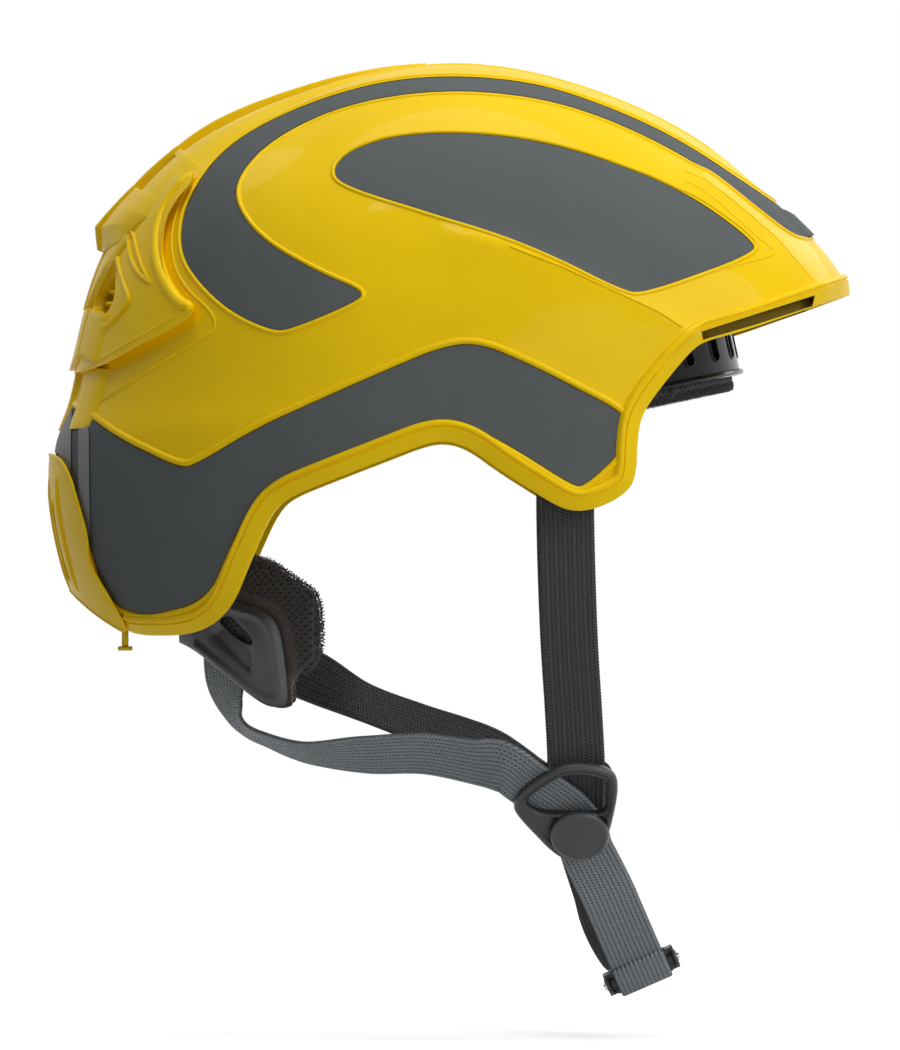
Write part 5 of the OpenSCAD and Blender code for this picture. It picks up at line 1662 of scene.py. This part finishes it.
def cornersOf(piece):
    co = np.zeros(len(piece.data.vertices) * 3)
    piece.data.vertices.foreach_get("co", co)
    return co.reshape(-1, 3) / mm


def moveCorners(piece, points):
    piece.data.vertices.foreach_set("co", (points * mm).ravel())


# A closed blank swells as cloth under slight pressure, then is refined
def stuffed(piece, voxel):
    mesh = piece.modifiers.new("even", "REMESH")
    mesh.mode, mesh.voxel_size = "VOXEL", voxel * mm
    bakeModifiers(piece)
    start = cornersOf(piece)
    cloth = piece.modifiers.new("cloth", "CLOTH")
    settings = cloth.settings
    settings.quality = 5
    settings.use_pressure = True
    settings.uniform_pressure_force = 4.0
    settings.effector_weights.gravity = 0
    cloth.collision_settings.use_collision = False
    scene = bpy.context.scene
    cloth.point_cache.frame_start, cloth.point_cache.frame_end = 1, 20
    for step in range(1, 21):
        scene.frame_set(step)
    bakeModifiers(piece)
    scene.frame_set(1)
    move = cornersOf(piece) - start
    far = np.linalg.norm(move, axis=1, keepdims=True)
    moveCorners(piece, start + move * np.minimum(1, 1 / np.maximum(far, 1e-6)))  # 1 mm at most
    finer = piece.modifiers.new("finer", "SUBSURF")
    finer.levels = finer.render_levels = 1
    even = piece.modifiers.new("soften", "SMOOTH")
    even.factor, even.iterations = 0.5, 3
    bakeModifiers(piece)
    piece.data.shade_smooth()
    return piece


def paintWhere(piece, first, second, chosen):
    piece.data.materials.clear()
    piece.data.materials.append(first)
    piece.data.materials.append(second)
    centres = np.zeros(len(piece.data.polygons) * 3)
    piece.data.polygons.foreach_get("center", centres)
    mask = chosen(centres.reshape(-1, 3) / mm)
    piece.data.polygons.foreach_set("material_index", mask.astype(int))


padLine = rounded(nape["pad"], 4)
padEdge = resampled(np.vstack([padLine, padLine[:1]]), 1.4)
middleDepth = -nape["half"] - 0.3 - nape["padDepth"] / 2


def napeTurn(points):
    return np.arctan2(np.abs(points[:, 1]) / nape["halfWidth"],
                      (points[:, 0] - nape["centre"]) / nape["halfLength"])


def napeGrow(points):
    turn = napeTurn(points)
    return (np.hypot(points[:, 0] - nape["centre"], points[:, 1])
            - np.hypot(nape["halfLength"] * np.cos(turn), nape["halfWidth"] * np.sin(turn)))


def fromNapeSide(x, z, grow, side):
    turn = np.arccos(np.clip((x - nape["centre"]) / (nape["halfLength"] + grow), -1, 1))
    return np.stack([x, side * (nape["halfWidth"] + grow) * np.sin(turn), z], -1)


for side, name in ((-1, "right"), (1, "left")):
    blank = napeWall("napePad", middleDepth + 3.0, middleDepth - 3.0, side, netBrown, step=1.6)
    low, high = (-95, -nape["padIn"] - 1) if side < 0 else (nape["padIn"] + 1, 95)
    carve(blank, sidePrism(shifted(padLine, -1.0), low, high), "INTERSECT")
    pad = stuffed(blank, 2.4)
    points = cornersOf(pad)
    grow = napeGrow(points)
    flatPlaces = points[:, [0, 2]]
    edge = insideDistance(flatPlaces, padLine)
    outside = -insideDistance(flatPlaces, wingLine)
    outerFace = np.clip((grow - middleDepth) / 2, 0, 1)
    fluff = np.clip(1 - np.abs(outside - 2.4) / 2.6, 0, 1)**0.5 * outerFace
    seam = np.exp(-((edge - 2.6) / 0.9)**2) * 0.8
    shiftIn = seam * np.sign(middleDepth - grow) + 0.9 * fluff * (outside > -0.5)
    away = np.column_stack([(points[:, 0] - nape["centre"]) / nape["halfLength"],
                            points[:, 1] / nape["halfWidth"], 0 * grow])
    away /= np.linalg.norm(away, axis=1, keepdims=True)
    points = points + away * shiftIn[:, None]
    moveCorners(pad, points)
    setFlat(pad, "net", np.column_stack([napeTurn(points) * 80, points[:, 2]]))

    def fuzzy(centres):
        out = -insideDistance(centres[:, [0, 2]], wingLine)
        near = insideDistance(centres[:, [0, 2]], padLine) < 1.2
        return near | ((out < 4.6) & (out > -3) & (napeGrow(centres) > middleDepth))

    paintWhere(pad, netBrown, fuzzBrown, fuzzy)
    rows = []
    for grow, inset in ((-0.6, 0.3), (1.4, 0.8), (-2.2, 0.8)):
        line = shifted(padEdge[:-1], -inset)
        away = np.abs(fromNapeSide(line[:, 0], line[:, 1], middleDepth, side)[:, 1])
        line = line[(away > 14) & (line[:, 1] > -101)]
        at = fromNapeSide(line[:, 0], line[:, 1], middleDepth + grow, side)
        steps = np.linalg.norm(np.diff(at, axis=0), axis=1)
        cut = [0] + list(np.where(steps > 6)[0] + 1) + [len(at)]
        rows += [(at[a:b], False) for a, b in zip(cut, cut[1:]) if b - a > 3]
    loops = stitchRow("loops", rows, fuzzBrown, 1.25, thick=0.16, stretch=1.0, slant=0.6,
                      loose=1.3, seed=12 + side, tree=netLoops)
    pad = joined("napePad_" + name, [pad, loops])
    finishPiece(pad, "wing_" + name, "pad_black", "nape_pad_" + name)

blank = bandWall("browPad", -57, 57, roundedBox(-9.0, -3.3, -4.0, 16.0, 1.6), padBlack, step=0.8)
brow = stuffed(blank, 1.8)
points = cornersOf(brow)
tilted = np.array([[math.cos(bandTurn), 0, -math.sin(bandTurn)], [0, 1, 0],
                   [math.sin(bandTurn), 0, math.cos(bandTurn)]])
spot = (points - [0, 0, band["base"]]) @ tilted
fromCentre = (spot - [band["centre"], 0, 0]) * [1, 1, 0]
turnAt = np.degrees(np.arctan2(fromCentre[:, 1] / band["halfWidth"],
                               fromCentre[:, 0] / band["halfLength"]))
reach = np.linalg.norm(fromCentre, axis=1)
face = np.clip((reach.max() - reach) / 6, 0, 1)
lines = np.exp(-((turnAt[:, None] - np.array([-42, -25, -8, 8, 25, 42])[None]) / 0.75)**2).max(1)
lines = np.maximum(lines, np.exp(-((spot[:, 2] - 6) / 1.0)**2) * (np.abs(turnAt) < 56)) * face
spot = spot + fromCentre / reach[:, None] * (lines * 1.3)[:, None]
points = spot @ tilted.T + [0, 0, band["base"]]
moveCorners(brow, points)
setFlat(brow, "net", np.column_stack([np.radians(turnAt) * 95, spot[:, 2]]))
repaint(brow, padBlack)
rows = [(bandPoint(np.linspace(-56, 56, 260), grow, up), False)
        for grow, up in ((-3.4, -3.3), (-3.8, -4.2), (-5.0, -4.5), (-6.4, -4.5), (-7.8, -4.2))]
fringe = stitchRow("fringe", rows, fuzzBlack, 0.45, thick=0.13, stretch=9, slant=1.57, loose=0.5,
                   seed=5)
brow = joined("browPad", [brow, fringe])
finishPiece(brow, "helmet", "pad_black", "brow_pad")


crownPad = {"outer": -22.2, "inner": -27.2, "halfLength": 50.5, "halfWidth": 35.0, "seam": 0.86}
blank = domeSkin("crownPad", crownPad["outer"], crownPad["inner"], fine=False)
oval = [(crownPad["halfLength"] * math.cos(t), crownPad["halfWidth"] * math.sin(t), z)
        for z in (60, 150) for t in np.linspace(0, 2 * math.pi, 60, endpoint=False)]
carve(blank, outward(meshPiece("prism", oval, prismFaces(60))), "INTERSECT")
crown = stuffed(blank, 2.6)
points = cornersOf(crown)
level = np.hypot(points[:, 0] / 52, points[:, 1] / 36.4)
channel = np.maximum(
    np.exp(-((np.abs(points[:, 1]) - 11) / 1.1)**2) * (level < crownPad["seam"]),
    np.exp(-((level - crownPad["seam"]) / 0.022)**2))
points[:, 2] += channel * 1.6 * np.clip((102.5 - points[:, 2]) / 3, 0, 1)
moveCorners(crown, points)
setFlat(crown, "net", points[:, :2])
repaint(crown, padBlack)
finishPiece(crown, "helmet", "pad_black", "crown_pad")


print("camera, floor and lights")
stage = {"distance": 6.0, "centreHeight": -0.0463, "frameHeight": 0.3889, "floor": -0.236,
         "floorSize": 4000, "paint": 0.6, "lift": 0.72, "soft": 0.1}
cameraData = bpy.data.cameras.new("camera")
cameraData.lens = 36 * stage["distance"] / stage["frameHeight"]
cameraData.sensor_width = 36
cameraData.clip_end = 60
camera = linked("camera", cameraData)
camera.location = (0, -stage["distance"], stage["centreHeight"])
camera.rotation_euler = (math.radians(90), 0, 0)
bpy.context.scene.camera = camera


# 1 for rays that should find the pale backdrop: the camera's, and mirrored or bent ones
def backdropSeen(tree):
    path = addNode(tree, "ShaderNodeLightPath").outputs
    bent = addNode(tree, "ShaderNodeMath", {
        0: path["Is Glossy Ray"], 1: path["Is Transmission Ray"]}, operation="MAXIMUM")
    return addNode(tree, "ShaderNodeMath", {
        0: path["Is Camera Ray"], 1: bent.outputs[0]}, operation="MAXIMUM").outputs[0]


def paleGround():
    material = bpy.data.materials.new("paleGround")
    material.use_nodes = True
    tree = material.node_tree
    tree.nodes.clear()
    spot = addNode(tree, "ShaderNodeTexCoord").outputs["Object"]
    reach = addNode(tree, "ShaderNodeVectorMath", {0: spot}, operation="LENGTH")
    fade = addNode(tree, "ShaderNodeMapRange", {
        "Value": reach.outputs["Value"], "From Min": 0.4, "From Max": 0.9,
        "To Min": stage["lift"], "To Max": 1})
    share = addNode(tree, "ShaderNodeMath", {0: backdropSeen(tree), 1: fade.outputs[0]},
                    operation="MULTIPLY")
    paint = addNode(tree, "ShaderNodeBsdfDiffuse", {"Color": (*[stage["paint"]] * 3, 1)})
    glow = addNode(tree, "ShaderNodeEmission", {
        "Color": (1, 1, 1, 1), "Strength": share.outputs[0]})
    both = addNode(tree, "ShaderNodeAddShader", {0: paint.outputs[0], 1: glow.outputs[0]})
    addNode(tree, "ShaderNodeOutputMaterial", {"Surface": both.outputs[0]})
    return material


size, height = stage["floorSize"], stage["floor"] / mm
floor = meshPiece("floor", [(-size, -size, height), (size, -size, height), (size, size, height),
                            (-size, size, height)], [(0, 1, 2, 3)], paleGround(), smooth=False)

world = bpy.data.worlds.new("studio")
bpy.context.scene.world = world
world.use_nodes = True
tree = world.node_tree
tree.nodes.clear()
soft, bright = (addNode(tree, "ShaderNodeBackground", {
    "Color": (1, 1, 1, 1), "Strength": strength}).outputs[0] for strength in (stage["soft"], 1.0))
choose = addNode(tree, "ShaderNodeMixShader", {"Fac": backdropSeen(tree), 1: soft, 2: bright})
addNode(tree, "ShaderNodeOutputWorld", {"Surface": choose.outputs[0]})

for name, place, target, shape, size, power in (
        ("key", (1.35, -0.85, 1.0), (0.03, 0, 0), "DISK", 1.4, 17.5),
        ("top", (0.05, -0.05, 1.6), (0, 0, 0), "DISK", 1.3, 12),
        ("window", (-0.25, -0.75, 1.4), (0, -0.08, 0.06), "SQUARE", 0.4, 3.2),
        ("edge", (0.91, 1.35, 0.92), (0.11, -0.05, 0.06), "SQUARE", 0.8, 5),
        ("rear", (-0.9, 0.45, 1.35), (-0.1, 0, 0.03), "DISK", 0.6, 2.4),
        ("low", (0.6, -1.7, -0.1), (0.02, 0, -0.1), "DISK", 1.2, 6)):
    lampData = bpy.data.lights.new(name, "AREA")
    lampData.shape, lampData.size, lampData.energy = shape, size, power
    lamp = linked(name, lampData)
    lamp.location = place
    lamp.rotation_euler = (Vector(target) - Vector(place)).to_track_quat("-Z", "Y").to_euler()
bpy.context.scene.view_settings.view_transform = "Standard"
